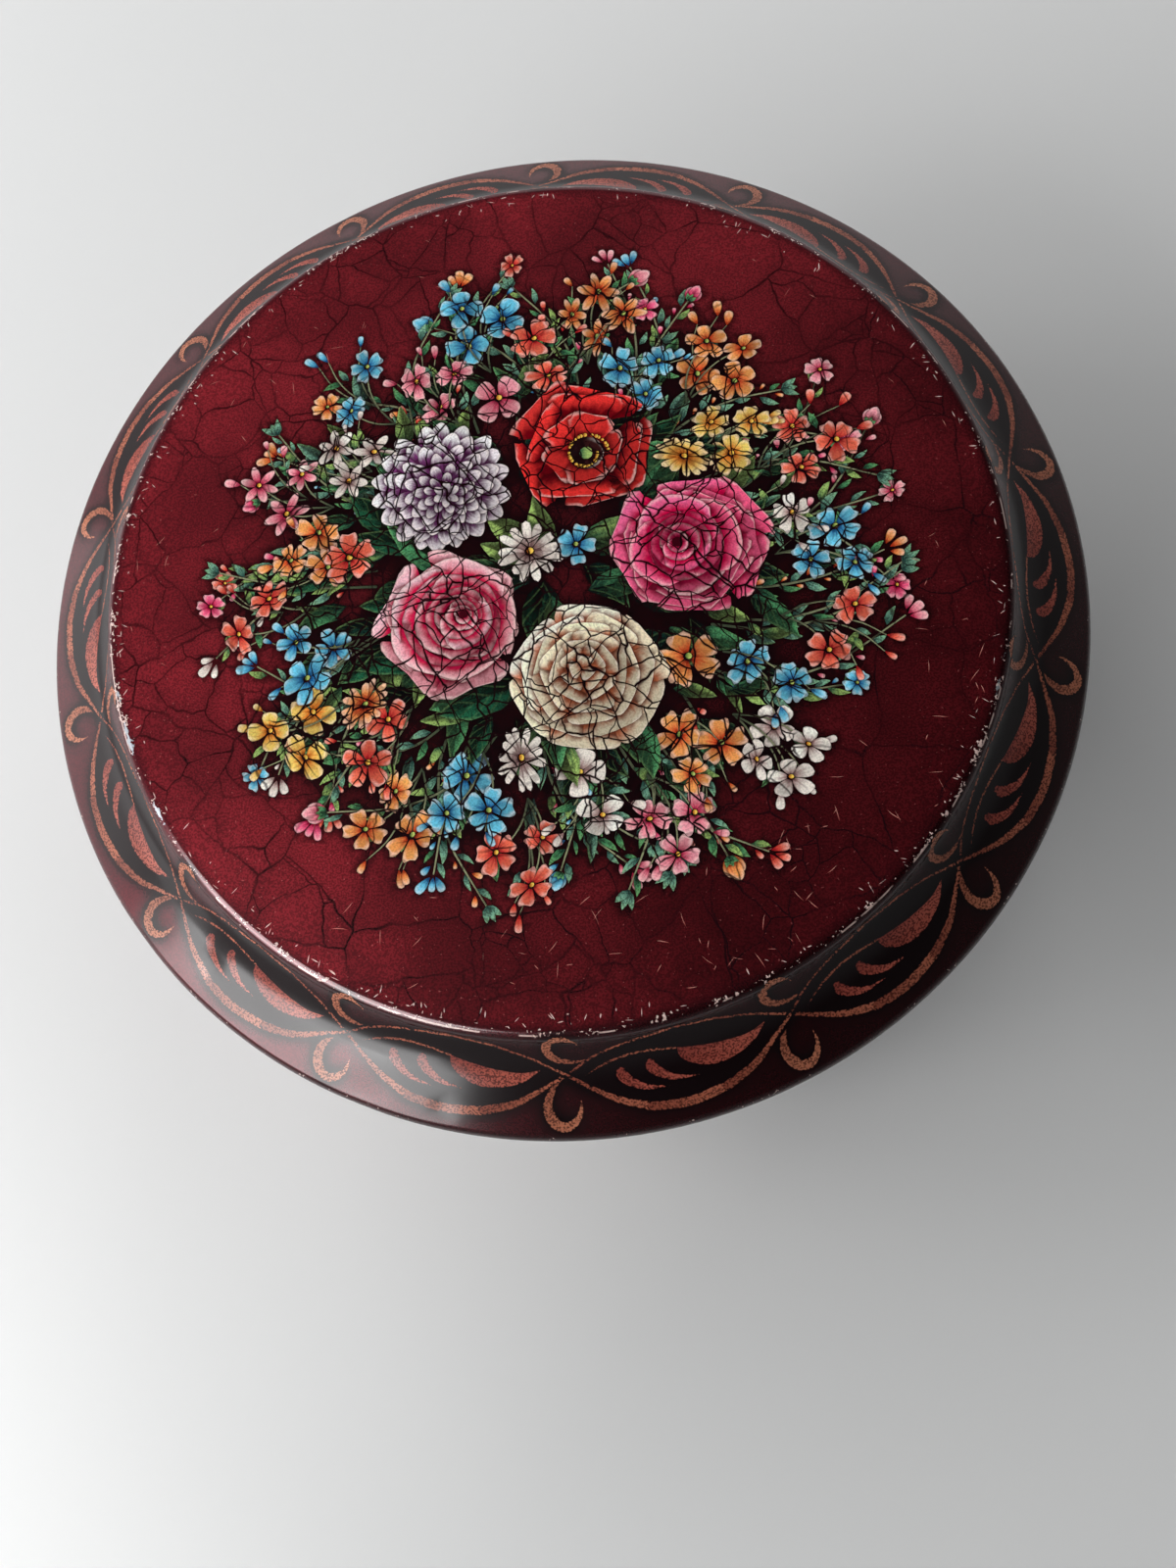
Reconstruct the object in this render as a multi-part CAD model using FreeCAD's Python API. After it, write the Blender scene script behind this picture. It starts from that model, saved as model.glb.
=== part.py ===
import FreeCAD, Part
import math
import os

# Round tin with a lid that slips over its wall.
# It is made as such tins are: a drawn lid, a rolled wall with a locked side seam, and a
# stamped base that is double-seamed to the wall.
# Millimetres. The origin is the centre of the ring that the tin stands on, +Z up, and the
# side seam is at the back, towards +Y.

# Whole tin
lid_radius = 95.0              # outside of the lid's skirt, the widest place
overall_height = 75.0          # table to the middle of the lid's top plate
sheet = 0.3                    # tinplate

# Lid, from the middle outwards
plate_edge_slope = 1.2         # degrees, how far the crowned plate has turned down at its edge
plate_edge_radius = 2.0        # rounding over the plate's edge
plate_step = 2.5               # plate's edge to the foot of its step
step_slope = 78.0              # degrees, side of the step
foot_radius = 0.5              # inside corner at the foot of the step
cove_radius = 20.0             # hollow between the foot and the straight part of the shoulder
cove_turn = 23.0               # degrees, how far the hollow turns
shoulder_width = 15.5          # foot of the step to the outside of the skirt
shoulder_height = 11.0         # foot of the step to the top of the skirt
rim_radius = 2.2               # rounding between the shoulder and the skirt
skirt_height = 15.0            # top of the skirt to the bottom of its curl
skirt_curl_radius = 0.8        # edge of the skirt, curled inwards
skirt_curl_turn = 270.0        # degrees

# Fit of the lid on the wall
slip_clearance = 0.25          # skirt's curl to the wall, all round
seat_clearance = 0.3           # wall's curl to the underside of the shoulder

# Wall
wall_curl_radius = 0.9         # top edge, curled inwards
wall_curl_turn = 270.0         # degrees
lock_width = 6.0               # side seam, along the wall
lock_depth = 0.6               # folds of the side seam inside the wall
lock_corner = 0.25             # rounding of the folds' edges
lock_end_gap = 1.0             # side seam's ends to the curl and to the base
fold_line_width = 0.4          # groove outside, where the strip's edge folds in
fold_line_depth = 0.1

# Base and the double seam that holds it
seam_height = 3.2
seam_clearance = 0.05          # between the layers that are pressed together
seam_corner_radius = 0.55      # outside corners of the ring that the tin stands on
hook_overlap = 1.6             # how far the wall's hook and the base's hook pass each other
panel_height = 3.5             # table to the underside of the base's outer panel
panel_corner_radius = 0.5
panel_step_width = 17.0        # wall to the step in the panel
panel_step_depth = 0.8         # middle of the panel lies this much lower
panel_step_radius = 1.5
panel_step_turn = 40.0         # degrees


def run(length):
    return {"length": length}


def bend(radius, turn):
    # A positive turn is to the left of the way the line runs.
    return {"radius": radius, "turn": math.radians(turn)}


def heading_vector(angle):
    return FreeCAD.Vector(math.cos(angle), 0, math.sin(angle))


def left_vector(angle):
    return FreeCAD.Vector(-math.sin(angle), 0, math.cos(angle))


def side_edges(start, heading, steps, offset):
    # One side of a strip of sheet, in the XZ plane, offset to the left of the drawn line.
    angle = math.radians(heading)
    point = FreeCAD.Vector(start[0], 0, start[1]) + left_vector(angle) * offset
    edges = []
    for step in steps:
        if "length" in step:
            end = point + heading_vector(angle) * step["length"]
            edges.append(Part.LineSegment(point, end).toShape())
        else:
            side = math.copysign(1, step["turn"])
            radius = step["radius"] - side * offset
            centre = point + left_vector(angle) * (side * radius)
            middle = centre - left_vector(angle + step["turn"] / 2) * (side * radius)
            angle += step["turn"]
            end = centre - left_vector(angle) * (side * radius)
            edges.append(Part.Arc(point, middle, end).toShape())
        point = end
    return edges


def spun_sheet(start, heading, steps, offset):
    # The strip between the drawn line and its offset, spun about the tin's axis.
    drawn = side_edges(start, heading, steps, 0)
    other = side_edges(start, heading, steps, offset)
    first_cap = Part.LineSegment(drawn[0].Vertexes[0].Point, other[0].Vertexes[0].Point)
    last_cap = Part.LineSegment(drawn[-1].Vertexes[-1].Point, other[-1].Vertexes[-1].Point)
    edges = drawn + other + [first_cap.toShape(), last_cap.toShape()]
    face = Part.Face(Part.Wire(Part.__sortEdges__(edges)))
    return face.revolve(FreeCAD.Vector(0, 0, 0), FreeCAD.Vector(0, 0, 1), 360)


def upright_strip(inner, outer, width, middle_angle, low, high):
    # A piece of a round wall, as wide as asked at its outer radius.
    half = width / outer / 2
    angles = [middle_angle - half, middle_angle, middle_angle + half]
    inside = [FreeCAD.Vector(inner * math.cos(a), inner * math.sin(a), low) for a in angles]
    outside = [FreeCAD.Vector(outer * math.cos(a), outer * math.sin(a), low) for a in angles]
    edges = [Part.Arc(*inside).toShape(),
             Part.LineSegment(inside[2], outside[2]).toShape(),
             Part.Arc(*outside).toShape(),
             Part.LineSegment(outside[0], inside[0]).toShape()]
    face = Part.Face(Part.Wire(Part.__sortEdges__(edges)))
    return face.extrude(FreeCAD.Vector(0, 0, high - low))


# Shoulder of the lid. Its straight part is tangent to the cove and to the rim's rounding, so
# its slope and length follow from where the foot of the step lies.
foot_r = lid_radius - shoulder_width
cove_angle = math.radians(cove_turn)
foot_inward = foot_r - (lid_radius - rim_radius)
across = rim_radius + cove_radius * (1 - math.cos(cove_angle))
along = math.sqrt(foot_inward ** 2 + shoulder_height ** 2 - across ** 2)
shoulder_slope = 90 + math.degrees(math.atan2(along, across)
                                   - math.atan2(shoulder_height, foot_inward))
shoulder_run = along - cove_radius * math.sin(cove_angle)
foot_slope = shoulder_slope + cove_turn

# Step of the plate
step_sin, step_cos = math.sin(math.radians(step_slope)), math.cos(math.radians(step_slope))
foot_sin, foot_cos = math.sin(math.radians(foot_slope)), math.cos(math.radians(foot_slope))
edge_sin = math.sin(math.radians(plate_edge_slope))
edge_cos = math.cos(math.radians(plate_edge_slope))
step_drop = (plate_step - plate_edge_radius * (edge_cos - step_cos)
             - foot_radius * (foot_cos - step_cos))
step_run = step_drop / step_sin
plate_radius = (foot_r - plate_edge_radius * (step_sin - edge_sin) - step_run * step_cos
                - foot_radius * (step_sin - foot_sin))
crown_radius = plate_radius / edge_sin
plate_crown = crown_radius * (1 - edge_cos)

# Heights of the lid
rim_z = overall_height - plate_crown - plate_step - shoulder_height
skirt_run = skirt_height - skirt_curl_radius

# Wall: its radius clears the skirt's curl, and its top clears the shoulder's underside.
wall_radius = lid_radius - 2 * skirt_curl_radius - slip_clearance
wall_inside = wall_radius - sheet
slope_sin = math.sin(math.radians(shoulder_slope))
slope_cos = math.cos(math.radians(shoulder_slope))
under_rim = rim_radius - sheet
under_r = lid_radius - rim_radius + under_rim * slope_sin
under_z = rim_z + under_rim * slope_cos
wall_curl_r = wall_radius - wall_curl_radius
seat_reach = wall_curl_radius + seat_clearance - (under_r - wall_curl_r) * slope_sin
wall_curl_z = under_z - seat_reach / slope_cos

# Double seam, from the inside outwards: base, wall, base's hook, wall's hook, base
chuck_inside = wall_inside - seam_clearance - sheet
hook_gap = sheet + 2 * seam_clearance
wall_hook_r = wall_radius + hook_gap
seam_radius = wall_hook_r + 2 * sheet + seam_clearance
ring_width = seam_radius - chuck_inside
wall_bend_z = sheet + seam_clearance + sheet + hook_gap / 2
seam_bend_radius = hook_gap / 2 + sheet
seam_bend_z = seam_height - seam_bend_radius
hook_slack = (seam_bend_z - wall_bend_z - hook_overlap) / 2
wall_hook_top = seam_bend_z - hook_slack
base_hook_low = wall_bend_z + hook_slack


def make_lid():
    steps = [bend(crown_radius, -plate_edge_slope),
             bend(plate_edge_radius, plate_edge_slope - step_slope),
             run(step_run),
             bend(foot_radius, step_slope - foot_slope),
             bend(cove_radius, cove_turn),
             run(shoulder_run),
             bend(rim_radius, shoulder_slope - 90),
             run(skirt_run),
             bend(skirt_curl_radius, -skirt_curl_turn)]
    return spun_sheet((0, overall_height), 0, steps, -sheet)


def make_body_wall():
    steps = [run(wall_hook_top - wall_bend_z),
             bend(hook_gap / 2, -180),
             run(wall_curl_z - wall_bend_z),
             bend(wall_curl_radius, wall_curl_turn)]
    wall = spun_sheet((wall_hook_r, wall_hook_top), -90, steps, sheet)
    back = math.pi / 2
    lock_low = panel_height + sheet + lock_end_gap
    lock_high = wall_curl_z - wall_curl_radius - lock_end_gap
    folds = upright_strip(wall_inside - lock_depth, wall_inside + sheet / 2,
                          lock_width, back, lock_low, lock_high)
    inner_edges = [edge for edge in folds.Edges
                   if all(math.hypot(v.X, v.Y) < wall_inside - lock_depth / 2
                          for v in edge.Vertexes)]
    folds = folds.makeFillet(lock_corner, inner_edges)
    fold_line_angle = back + lock_width / wall_radius / 2
    fold_line = upright_strip(wall_radius - fold_line_depth, wall_radius + sheet,
                              fold_line_width, fold_line_angle, seam_height + sheet,
                              wall_curl_z)
    return wall.fuse(folds).cut(fold_line).removeSplitter()


def make_base():
    low_panel_z = panel_height - panel_step_depth
    step_angle = math.radians(panel_step_turn)
    rise_in_bends = 2 * panel_step_radius * (1 - math.cos(step_angle))
    slope_run = (panel_step_depth - rise_in_bends) / math.sin(step_angle)
    step_reach = 2 * panel_step_radius * math.sin(step_angle) + slope_run * math.cos(step_angle)
    step_start = chuck_inside - panel_step_width
    outer_run = chuck_inside - panel_corner_radius - step_start - step_reach
    steps = [run(step_start),
             bend(panel_step_radius, panel_step_turn),
             run(slope_run),
             bend(panel_step_radius, -panel_step_turn),
             run(outer_run),
             bend(panel_corner_radius, -90),
             run(panel_height - panel_corner_radius - seam_corner_radius),
             bend(seam_corner_radius, 90),
             run(ring_width - 2 * seam_corner_radius),
             bend(seam_corner_radius, 90),
             run(seam_bend_z - seam_corner_radius),
             bend(seam_bend_radius, 180),
             run(seam_bend_z - base_hook_low)]
    return spun_sheet((0, low_panel_z), 0, steps, sheet)


os.makedirs("parts", exist_ok=True)
pieces = {"lid": make_lid(), "body_wall": make_body_wall(), "base": make_base()}
for node, shape in pieces.items():
    shape.exportStep("parts/" + node + ".step")
    print(node, "valid", shape.isValid(), "solids", len(shape.Solids), "volume", round(shape.Volume, 1))
print("shoulder slope", round(shoulder_slope, 2), "plate radius", round(plate_radius, 2),
      "crown", round(plate_crown, 2), "rim z", round(rim_z, 2), "wall radius", round(wall_radius, 2))
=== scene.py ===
import bpy, bmesh, math, random
import numpy as np
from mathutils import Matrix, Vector, geometry
from mathutils.bvhtree import BVHTree
from mathutils.kdtree import KDTree


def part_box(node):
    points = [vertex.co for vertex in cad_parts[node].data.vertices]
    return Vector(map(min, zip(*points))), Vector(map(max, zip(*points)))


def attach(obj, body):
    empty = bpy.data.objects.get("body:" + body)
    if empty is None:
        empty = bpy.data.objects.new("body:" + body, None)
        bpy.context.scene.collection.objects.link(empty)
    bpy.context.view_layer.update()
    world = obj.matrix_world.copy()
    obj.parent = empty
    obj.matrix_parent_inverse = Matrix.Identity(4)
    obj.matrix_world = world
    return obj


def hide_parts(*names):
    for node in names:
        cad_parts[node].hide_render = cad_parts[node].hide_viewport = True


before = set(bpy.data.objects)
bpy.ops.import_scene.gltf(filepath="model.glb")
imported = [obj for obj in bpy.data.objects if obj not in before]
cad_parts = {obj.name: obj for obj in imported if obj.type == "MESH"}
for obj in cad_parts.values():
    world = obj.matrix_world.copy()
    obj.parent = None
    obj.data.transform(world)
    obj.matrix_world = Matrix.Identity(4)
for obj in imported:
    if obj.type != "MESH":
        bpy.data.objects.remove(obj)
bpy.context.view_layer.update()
mm = 0.001
lowLid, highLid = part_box("lid")
_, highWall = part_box("body_wall")
lowBase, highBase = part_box("base")
print("frame: lid", [round(c / mm, 2) for c in highLid], "wall top", round(highWall.z / mm, 2),
      "base from", round(lowBase.z / mm, 2), "to", round(highBase.z / mm, 2))


def ray(angle):
    return np.array([math.cos(angle), math.sin(angle)])


def rays(angles):
    return np.stack([np.cos(angles), np.sin(angles)], -1)


# Sheet paths, in millimetres. A path is drawn as a roll former would: runs and bends.
def run(length):
    return ("run", length, 0.0)


def bend(radius, turn):
    return ("bend", radius, math.radians(turn))


def tracePath(start, heading, moves, runStep, chordGap):
    # rows of radius, height, heading and length so far; chordGap: how far a facet may cut inside a bend
    r, z = start
    angle, length = math.radians(heading), 0.0
    rows = [(r, z, angle, length)]
    for kind, size, turn in moves:
        if kind == "run":
            count = max(1, round(size / runStep))
            for k in range(count):
                r += size / count * math.cos(angle)
                z += size / count * math.sin(angle)
                length += size / count
                rows.append((r, z, angle, length))
        else:
            count = math.ceil(abs(turn) / (2 * math.acos(1 - chordGap / size)))
            side = math.copysign(size, turn)
            middle = (r - math.sin(angle) * side, z + math.cos(angle) * side)
            for k in range(1, count + 1):
                a = angle + turn * k / count
                r, z = middle[0] + math.sin(a) * side, middle[1] - math.cos(a) * side
                rows.append((r, z, a, length + size * abs(turn) * k / count))
            angle += turn
            length += size * abs(turn)
    return np.array(rows)


def makeSheet(start, heading, moves, offset, runStep=3.0):
    # offset: where the metal's other face lies, to the left of the path's heading
    # stations: the length so far at the start of each move, and at the end
    lengths = [size * abs(turn) if kind == "bend" else size for kind, size, turn in moves]
    return {"rows": tracePath(start, heading, moves, runStep, 0.01), "stations": np.cumsum([0] + lengths),
            "fine": tracePath(start, heading, moves, 0.5, 0.0002), "offset": offset}


def onSheet(sheet, along, side):
    # radius, height and outward normal (radial, upward) of points at a length along the path
    fine = sheet["fine"]
    r, z, angle = (np.interp(along, fine[:, 3], fine[:, k]) for k in range(3))
    left = np.stack([-np.sin(angle), np.cos(angle)], -1)
    reach = (side * sheet["offset"])[:, None] * left
    facing = np.where(side > 0.5, 1.0, -1.0) * math.copysign(1.0, sheet["offset"])
    return r + reach[:, 0], z + reach[:, 1], left * facing[:, None]


lidForm = {
    "sheet": 0.3, "edgeSlope": 1.2, "edgeRadius": 2.0, "step": 2.5, "stepSlope": 78.0,
    "footRadius": 0.5, "coveRadius": 20.0, "coveTurn": 23.0, "shoulderWidth": 15.5,
    "shoulderHeight": 11.0, "rimRadius": 2.2, "curlRadius": 0.8, "curlTurn": 270.0,
}
wallForm = {
    "sheet": 0.3, "slip": 0.25, "curlRadius": 0.9, "curlTurn": 270.0, "seamHeight": 3.2,
    "layerGap": 0.05, "hookOverlap": 1.6, "lockWidth": 6.0, "lockDepth": 0.6, "lockEndGap": 1.0,
    "lockCorner": 0.25, "lockTurns": (0, .52, 1.05, 1.57), "lockSharp": 40,
}
baseForm = {
    "sheet": 0.3, "panelHeight": 3.5, "panelCorner": 0.5, "panelStepWidth": 17.0, "panelStepDepth": 0.8,
    "panelStepRadius": 1.5, "panelStepTurn": 40.0, "ringCorner": 0.55,
}
lidRadius, lidTop = highLid.x / mm, highLid.z / mm


def sinCos(degrees):
    return math.sin(math.radians(degrees)), math.cos(math.radians(degrees))


def makeLidSheet(form):
    footR = lidRadius - form["shoulderWidth"]
    coveSin, coveCos = sinCos(form["coveTurn"])
    inward = footR - (lidRadius - form["rimRadius"])
    across = form["rimRadius"] + form["coveRadius"] * (1 - coveCos)
    straight = math.sqrt(inward ** 2 + form["shoulderHeight"] ** 2 - across ** 2)
    slope = 90 + math.degrees(math.atan2(straight, across) - math.atan2(form["shoulderHeight"], inward))
    footSlope = slope + form["coveTurn"]
    stepSin, stepCos = sinCos(form["stepSlope"])
    footSin, footCos = sinCos(footSlope)
    edgeSin, edgeCos = sinCos(form["edgeSlope"])
    drop = form["step"] - form["edgeRadius"] * (edgeCos - stepCos) - form["footRadius"] * (footCos - stepCos)
    plateR = (footR - form["edgeRadius"] * (stepSin - edgeSin) - drop / stepSin * stepCos
              - form["footRadius"] * (stepSin - footSin))
    crownR = plateR / edgeSin
    rimZ = lidTop - crownR * (1 - edgeCos) - form["step"] - form["shoulderHeight"]
    moves = [bend(crownR, -form["edgeSlope"]),
             bend(form["edgeRadius"], form["edgeSlope"] - form["stepSlope"]),
             run(drop / stepSin),
             bend(form["footRadius"], form["stepSlope"] - footSlope),
             bend(form["coveRadius"], form["coveTurn"]),
             run(straight - form["coveRadius"] * coveSin),
             bend(form["rimRadius"], slope - 90),
             run(rimZ - lowLid.z / mm - form["curlRadius"]),
             bend(form["curlRadius"], -form["curlTurn"])]
    return makeSheet((0, lidTop), 0, moves, -form["sheet"])


def makeWallSheet(form):
    radius = lidRadius - 2 * lidForm["curlRadius"] - form["slip"]
    gap = form["sheet"] + 2 * form["layerGap"]
    hookR = radius + gap
    bendZ = 2 * form["sheet"] + form["layerGap"] + gap / 2
    seamBendZ = form["seamHeight"] - gap / 2 - form["sheet"]
    slack = (seamBendZ - bendZ - form["hookOverlap"]) / 2
    hookTop = seamBendZ - slack
    moves = [run(hookTop - bendZ), bend(gap / 2, -180),
             run(highWall.z / mm - form["curlRadius"] - bendZ), bend(form["curlRadius"], form["curlTurn"])]
    return {**makeSheet((hookR, hookTop), -90, moves, form["sheet"]),
            "radius": radius, "bendZ": bendZ, "hookLow": bendZ + slack}


def makeBaseSheet(form, wall):
    gap = form["sheet"] + 2 * wallForm["layerGap"]
    chuck = wall["radius"] - wallForm["sheet"] - wallForm["layerGap"] - form["sheet"]
    ring = wall["radius"] + gap + 2 * form["sheet"] + wallForm["layerGap"] - chuck
    seamBendR = gap / 2 + form["sheet"]
    seamBendZ = wallForm["seamHeight"] - seamBendR
    turnSin, turnCos = sinCos(form["panelStepTurn"])
    rise = 2 * form["panelStepRadius"] * (1 - turnCos)
    slopeRun = (form["panelStepDepth"] - rise) / turnSin
    reach = 2 * form["panelStepRadius"] * turnSin + slopeRun * turnCos
    stepStart = chuck - form["panelStepWidth"]
    corner = form["ringCorner"]
    moves = [run(stepStart),
             bend(form["panelStepRadius"], form["panelStepTurn"]),
             run(slopeRun),
             bend(form["panelStepRadius"], -form["panelStepTurn"]),
             run(chuck - form["panelCorner"] - stepStart - reach),
             bend(form["panelCorner"], -90),
             run(form["panelHeight"] - form["panelCorner"] - corner),
             bend(corner, 90),
             run(ring - 2 * corner),
             bend(corner, 90),
             run(seamBendZ - corner),
             bend(seamBendR, 180),
             run(seamBendZ - wall["hookLow"])]
    return makeSheet((0, form["panelHeight"] - form["panelStepDepth"]), 0, moves, form["sheet"], 6.0)


lidSheet = makeLidSheet(lidForm)
wallSheet = makeWallSheet(wallForm)
baseSheet = makeBaseSheet(baseForm, wallSheet)
plateAlong, footAlong, rimAlong, skirtAlong = (lidSheet["stations"][k] for k in (1, 4, 6, 7))
print("sheets: lid path", round(lidSheet["stations"][-1], 2), "foot at", round(footAlong, 2),
      "wall radius", round(wallSheet["radius"], 2))


# Painted shapes. Each is an outline with a spine, kept in the order it is painted.
def linear(colour):
    # 0 to 255 as seen, to the light that a shader works in
    share = np.asarray(colour, float) / 255
    return np.where(share < 0.04045, share / 12.92, ((share + 0.055) / 1.055) ** 2.4)


def smoothLine(points, steps):
    # a smooth line through the points, with their other values such as widths
    points = np.asarray(points, float)
    padded = np.vstack([2 * points[0] - points[1], points, 2 * points[-1] - points[-2]])
    line = []
    for k in range(1, len(padded) - 2):
        a, b, c, d = padded[k - 1:k + 3]
        for t in np.arange(steps) / steps:
            line.append(0.5 * (2 * b + (c - a) * t + (2 * a - 5 * b + 4 * c - d) * t ** 2
                               + (3 * b - 3 * c + d - a) * t ** 3))
    return np.vstack([line, points[-1]])


def addShape(shapes, spine, left, right, ink, motif, fade=0.0, seed=0.0, across=False, casts=True):
    # left and right: the outline's points on each side of the spine, from base to tip
    # no ink bares the ground
    outline = np.vstack([right, left[::-1]])      # counterclockwise, as the cutter needs
    outline = np.roll(outline, -(len(right) // 2), axis=0)
    keep = np.linalg.norm(outline - np.roll(outline, 1, 0), axis=1) > 0.004
    half = np.maximum(np.linalg.norm(left - spine, axis=1), np.linalg.norm(right - spine, axis=1))
    base, tip = ink or ((0, 0, 0), (0, 0, 0))
    shapes.append({"outline": outline[keep], "spine": spine, "half": np.maximum(half, 1e-3),
                   "base": linear(base), "tip": linear(tip), "inked": 1.0 if ink else 0.0,
                   "motif": motif, "fade": fade, "seed": seed, "across": across, "casts": casts})


def addStroke(shapes, points, ink, motif, steps=5, sides=(1, 1), seed=0.0, casts=True):
    # points: x, y and half width
    line = smoothLine(points, steps)
    spine, half = line[:, :2], np.maximum(line[:, 2], 0)[:, None]
    ahead = np.gradient(spine, axis=0)
    across = np.stack([-ahead[:, 1], ahead[:, 0]], -1) / np.linalg.norm(ahead, axis=1)[:, None]
    if half[0] > 0.1:
        spine, half, across = roundEnd(spine, half, across, 0)
    if half[-1] > 0.1:
        spine, half, across = roundEnd(spine, half, across, -1)
    addShape(shapes, spine, spine + across * half * sides[0], spine - across * half * sides[1],
             ink, motif, seed=seed, casts=casts)


capSteps = [0.45, 0.8, 0.97, 1.0]       # a round end's points, as shares of its reach


def roundEnd(spine, half, across, end):
    # a half round cap, as more points along the spine with narrowing widths
    outward = spine[end] - spine[1 if end == 0 else -2]
    outward /= np.linalg.norm(outward)
    tips = [spine[end] + outward * half[end] * s for s in capSteps]
    widths = [half[end] * math.sqrt(1 - s * s) for s in capSteps]
    turns = [across[end]] * len(capSteps)
    if end == 0:
        return np.vstack([tips[::-1], spine]), np.vstack([widths[::-1], half]), np.vstack([turns, across])
    return np.vstack([spine, tips]), np.vstack([half, widths]), np.vstack([across, turns])


def turned(points, angle):
    c, s = ray(angle)
    return points @ np.array([[c, s], [-s, c]])


def place(centre, size=1.0, tilt=1.0, tiltAngle=0.0):
    # a flower's place on the plate; a tilt under 1 squashes it as if it faced sideways
    def put(points):
        flat = turned(points, -tiltAngle) * np.array([tilt, 1.0])
        return turned(flat, tiltAngle) * size + np.asarray(centre, float)
    return put


petalForms = {  # how its base swells, how blunt its tip is, the tip's notch, the edge's ruffle
    "round": {"base": 0.85, "tip": 0.34, "notch": 0.0, "ruffle": 0.02},
    "heart": {"base": 0.95, "tip": 0.3, "notch": 0.1, "ruffle": 0.02},
    "ruffled": {"base": 0.8, "tip": 0.3, "notch": 0.05, "ruffle": 0.05},
    "pointed": {"base": 0.75, "tip": 0.62, "notch": 0.0, "ruffle": 0.01},
    "leaf": {"base": 0.75, "tip": 1.05, "notch": 0.0, "ruffle": 0.03},
}


petalPaint = {
    "tones": (0.86, 1.06),      # how much darker or lighter one petal is than the next
    "widths": (0.88, 1.1),      # and how much narrower or wider
    "crowding": 1.6,            # over 1, the points along it crowd at its tip
    "waves": (11, 23), "notchWidth": 0.3, "notchFrom": 0.7, "notchRun": 0.3,
    "darkHalf": 0.45,           # a leaf's half that is turned from the light
    "seeds": 40,                # how many places the streaks' pattern has
}
aTurn = 6.28        # radians, once round


def addPetal(shapes, put, turn, length, width, ink, form, motif, dice, fade=0.0, curve=0.0, start=0.0,
             split=False, count=11):
    f, p = petalForms[form], petalPaint
    u = 1 - (1 - np.linspace(0, 1, count)) ** p["crowding"]
    half = u ** f["base"] * (1 - u) ** f["tip"]
    half *= width / 2 / half.max()
    phase = dice.uniform(0, aTurn)
    slow, fast = p["waves"]
    wave = 1 + f["ruffle"] * np.sin(u * slow + phase) + f["ruffle"] * np.sin(u * fast + 2 * phase)
    sides = []
    for sign in (1, 0, -1):
        y = sign * half * (wave if sign > 0 else wave[::-1])
        x = u * length * (1 + (wave - 1) * 0.5 * abs(sign))
        if sign:
            near = np.clip(1 - (y / (p["notchWidth"] * width)) ** 2, 0, 1)
            near = near * np.clip((u - p["notchFrom"]) / p["notchRun"], 0, 1)
            x = x - f["notch"] * length * near
        else:
            x = x * (1 - f["notch"])
        bow = curve * x / length
        points = np.stack([x * np.cos(bow / 2) - y * np.sin(bow), x * np.sin(bow / 2) + y * np.cos(bow)], -1)
        sides.append(put(turned(points + np.array([start, 0.0]), turn)))
    left, spine, right = sides
    inks = [tuple(np.clip(np.array(c) * dice.uniform(*p["tones"]), 0, 255)) for c in ink]
    seed = dice.uniform(0, p["seeds"])
    if split:       # a leaf's two halves, one turned from the light
        addShape(shapes, spine, left, spine, inks, motif, fade, seed)
        darker = [tuple(np.array(c) * p["darkHalf"]) for c in inks]
        addShape(shapes, spine, spine, right, darker, motif, fade, seed + 3)
    else:
        addShape(shapes, spine, left, right, inks, motif, fade, seed)


def addDisc(shapes, put, at, radius, ink, motif, sides=10):
    angles = np.linspace(0, math.pi, sides // 2 + 1)
    top = np.stack([-np.cos(angles), np.sin(angles)], -1) * radius + at
    bottom = np.stack([-np.cos(angles), -np.sin(angles)], -1) * radius + at
    spine = np.stack([-np.cos(angles), 0 * angles], -1) * radius + at
    addShape(shapes, put(spine), put(top), put(bottom), ink, motif)


# The cutter: turns a pile of painted shapes into one flat mesh whose edges follow what shows
cutter = {  # millimetres
    "straight": 0.006,      # a point this near to the line between its neighbours is dropped
    "clear": 0.12,          # room that the points inside a shape leave to its edges
    "probe": 0.02,          # how far beside a point is looked whether its shape shows
    "same": 1e-5,           # points nearer than this are one
    "weld": 0.02,           # open edges as near as this are joined
}


def triangulate(points, edges, faces):
    flat, _, triangles, _, _, owners = geometry.delaunay_2d_cdt([Vector(p) for p in points], edges, faces,
                                                               1, cutter["same"], True)
    return np.array([tuple(p) for p in flat]), np.array(triangles), owners


def triangleAreas(flat, triangles):
    a, b, c = (flat[triangles[:, k]] for k in range(3))
    return ((b - a)[:, 0] * (c - a)[:, 1] - (b - a)[:, 1] * (c - a)[:, 0]) / 2


def stack(loops):
    # the loops' points in one list, and each loop's places in it
    ends = np.cumsum([0] + [len(loop) for loop in loops])
    return np.vstack(loops), [list(range(a, b)) for a, b in zip(ends, ends[1:])]


def paintLayers(shapes, rim):
    # every outline cut at once, and which shape is on top in each triangle; 0 is the ground
    points, faces = stack([rim] + [shape["outline"] for shape in shapes])
    flat, triangles, owners = triangulate(points, [], faces)
    claimed = np.zeros(len(faces))
    for area, owner in zip(triangleAreas(flat, triangles), owners):
        claimed[owner] += area
    shown = np.ones(len(faces), bool)
    for k, shape in enumerate(shapes, 1):
        x, y = shape["outline"].T
        own = (x * np.roll(y, -1) - y * np.roll(x, -1)).sum() / 2
        shown[k] = claimed[k] < 1.5 * own + 0.5   # an outline that crosses itself can leak, and isn't shown
    kept = [k for k, owner in enumerate(owners) if 0 in owner]
    top = np.array([max(i for i in owners[k] if shown[i]) for k in kept])
    print("  shapes left out:", int((~shown).sum()), "of", len(shapes))
    return flat, triangles[kept], top


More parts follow.
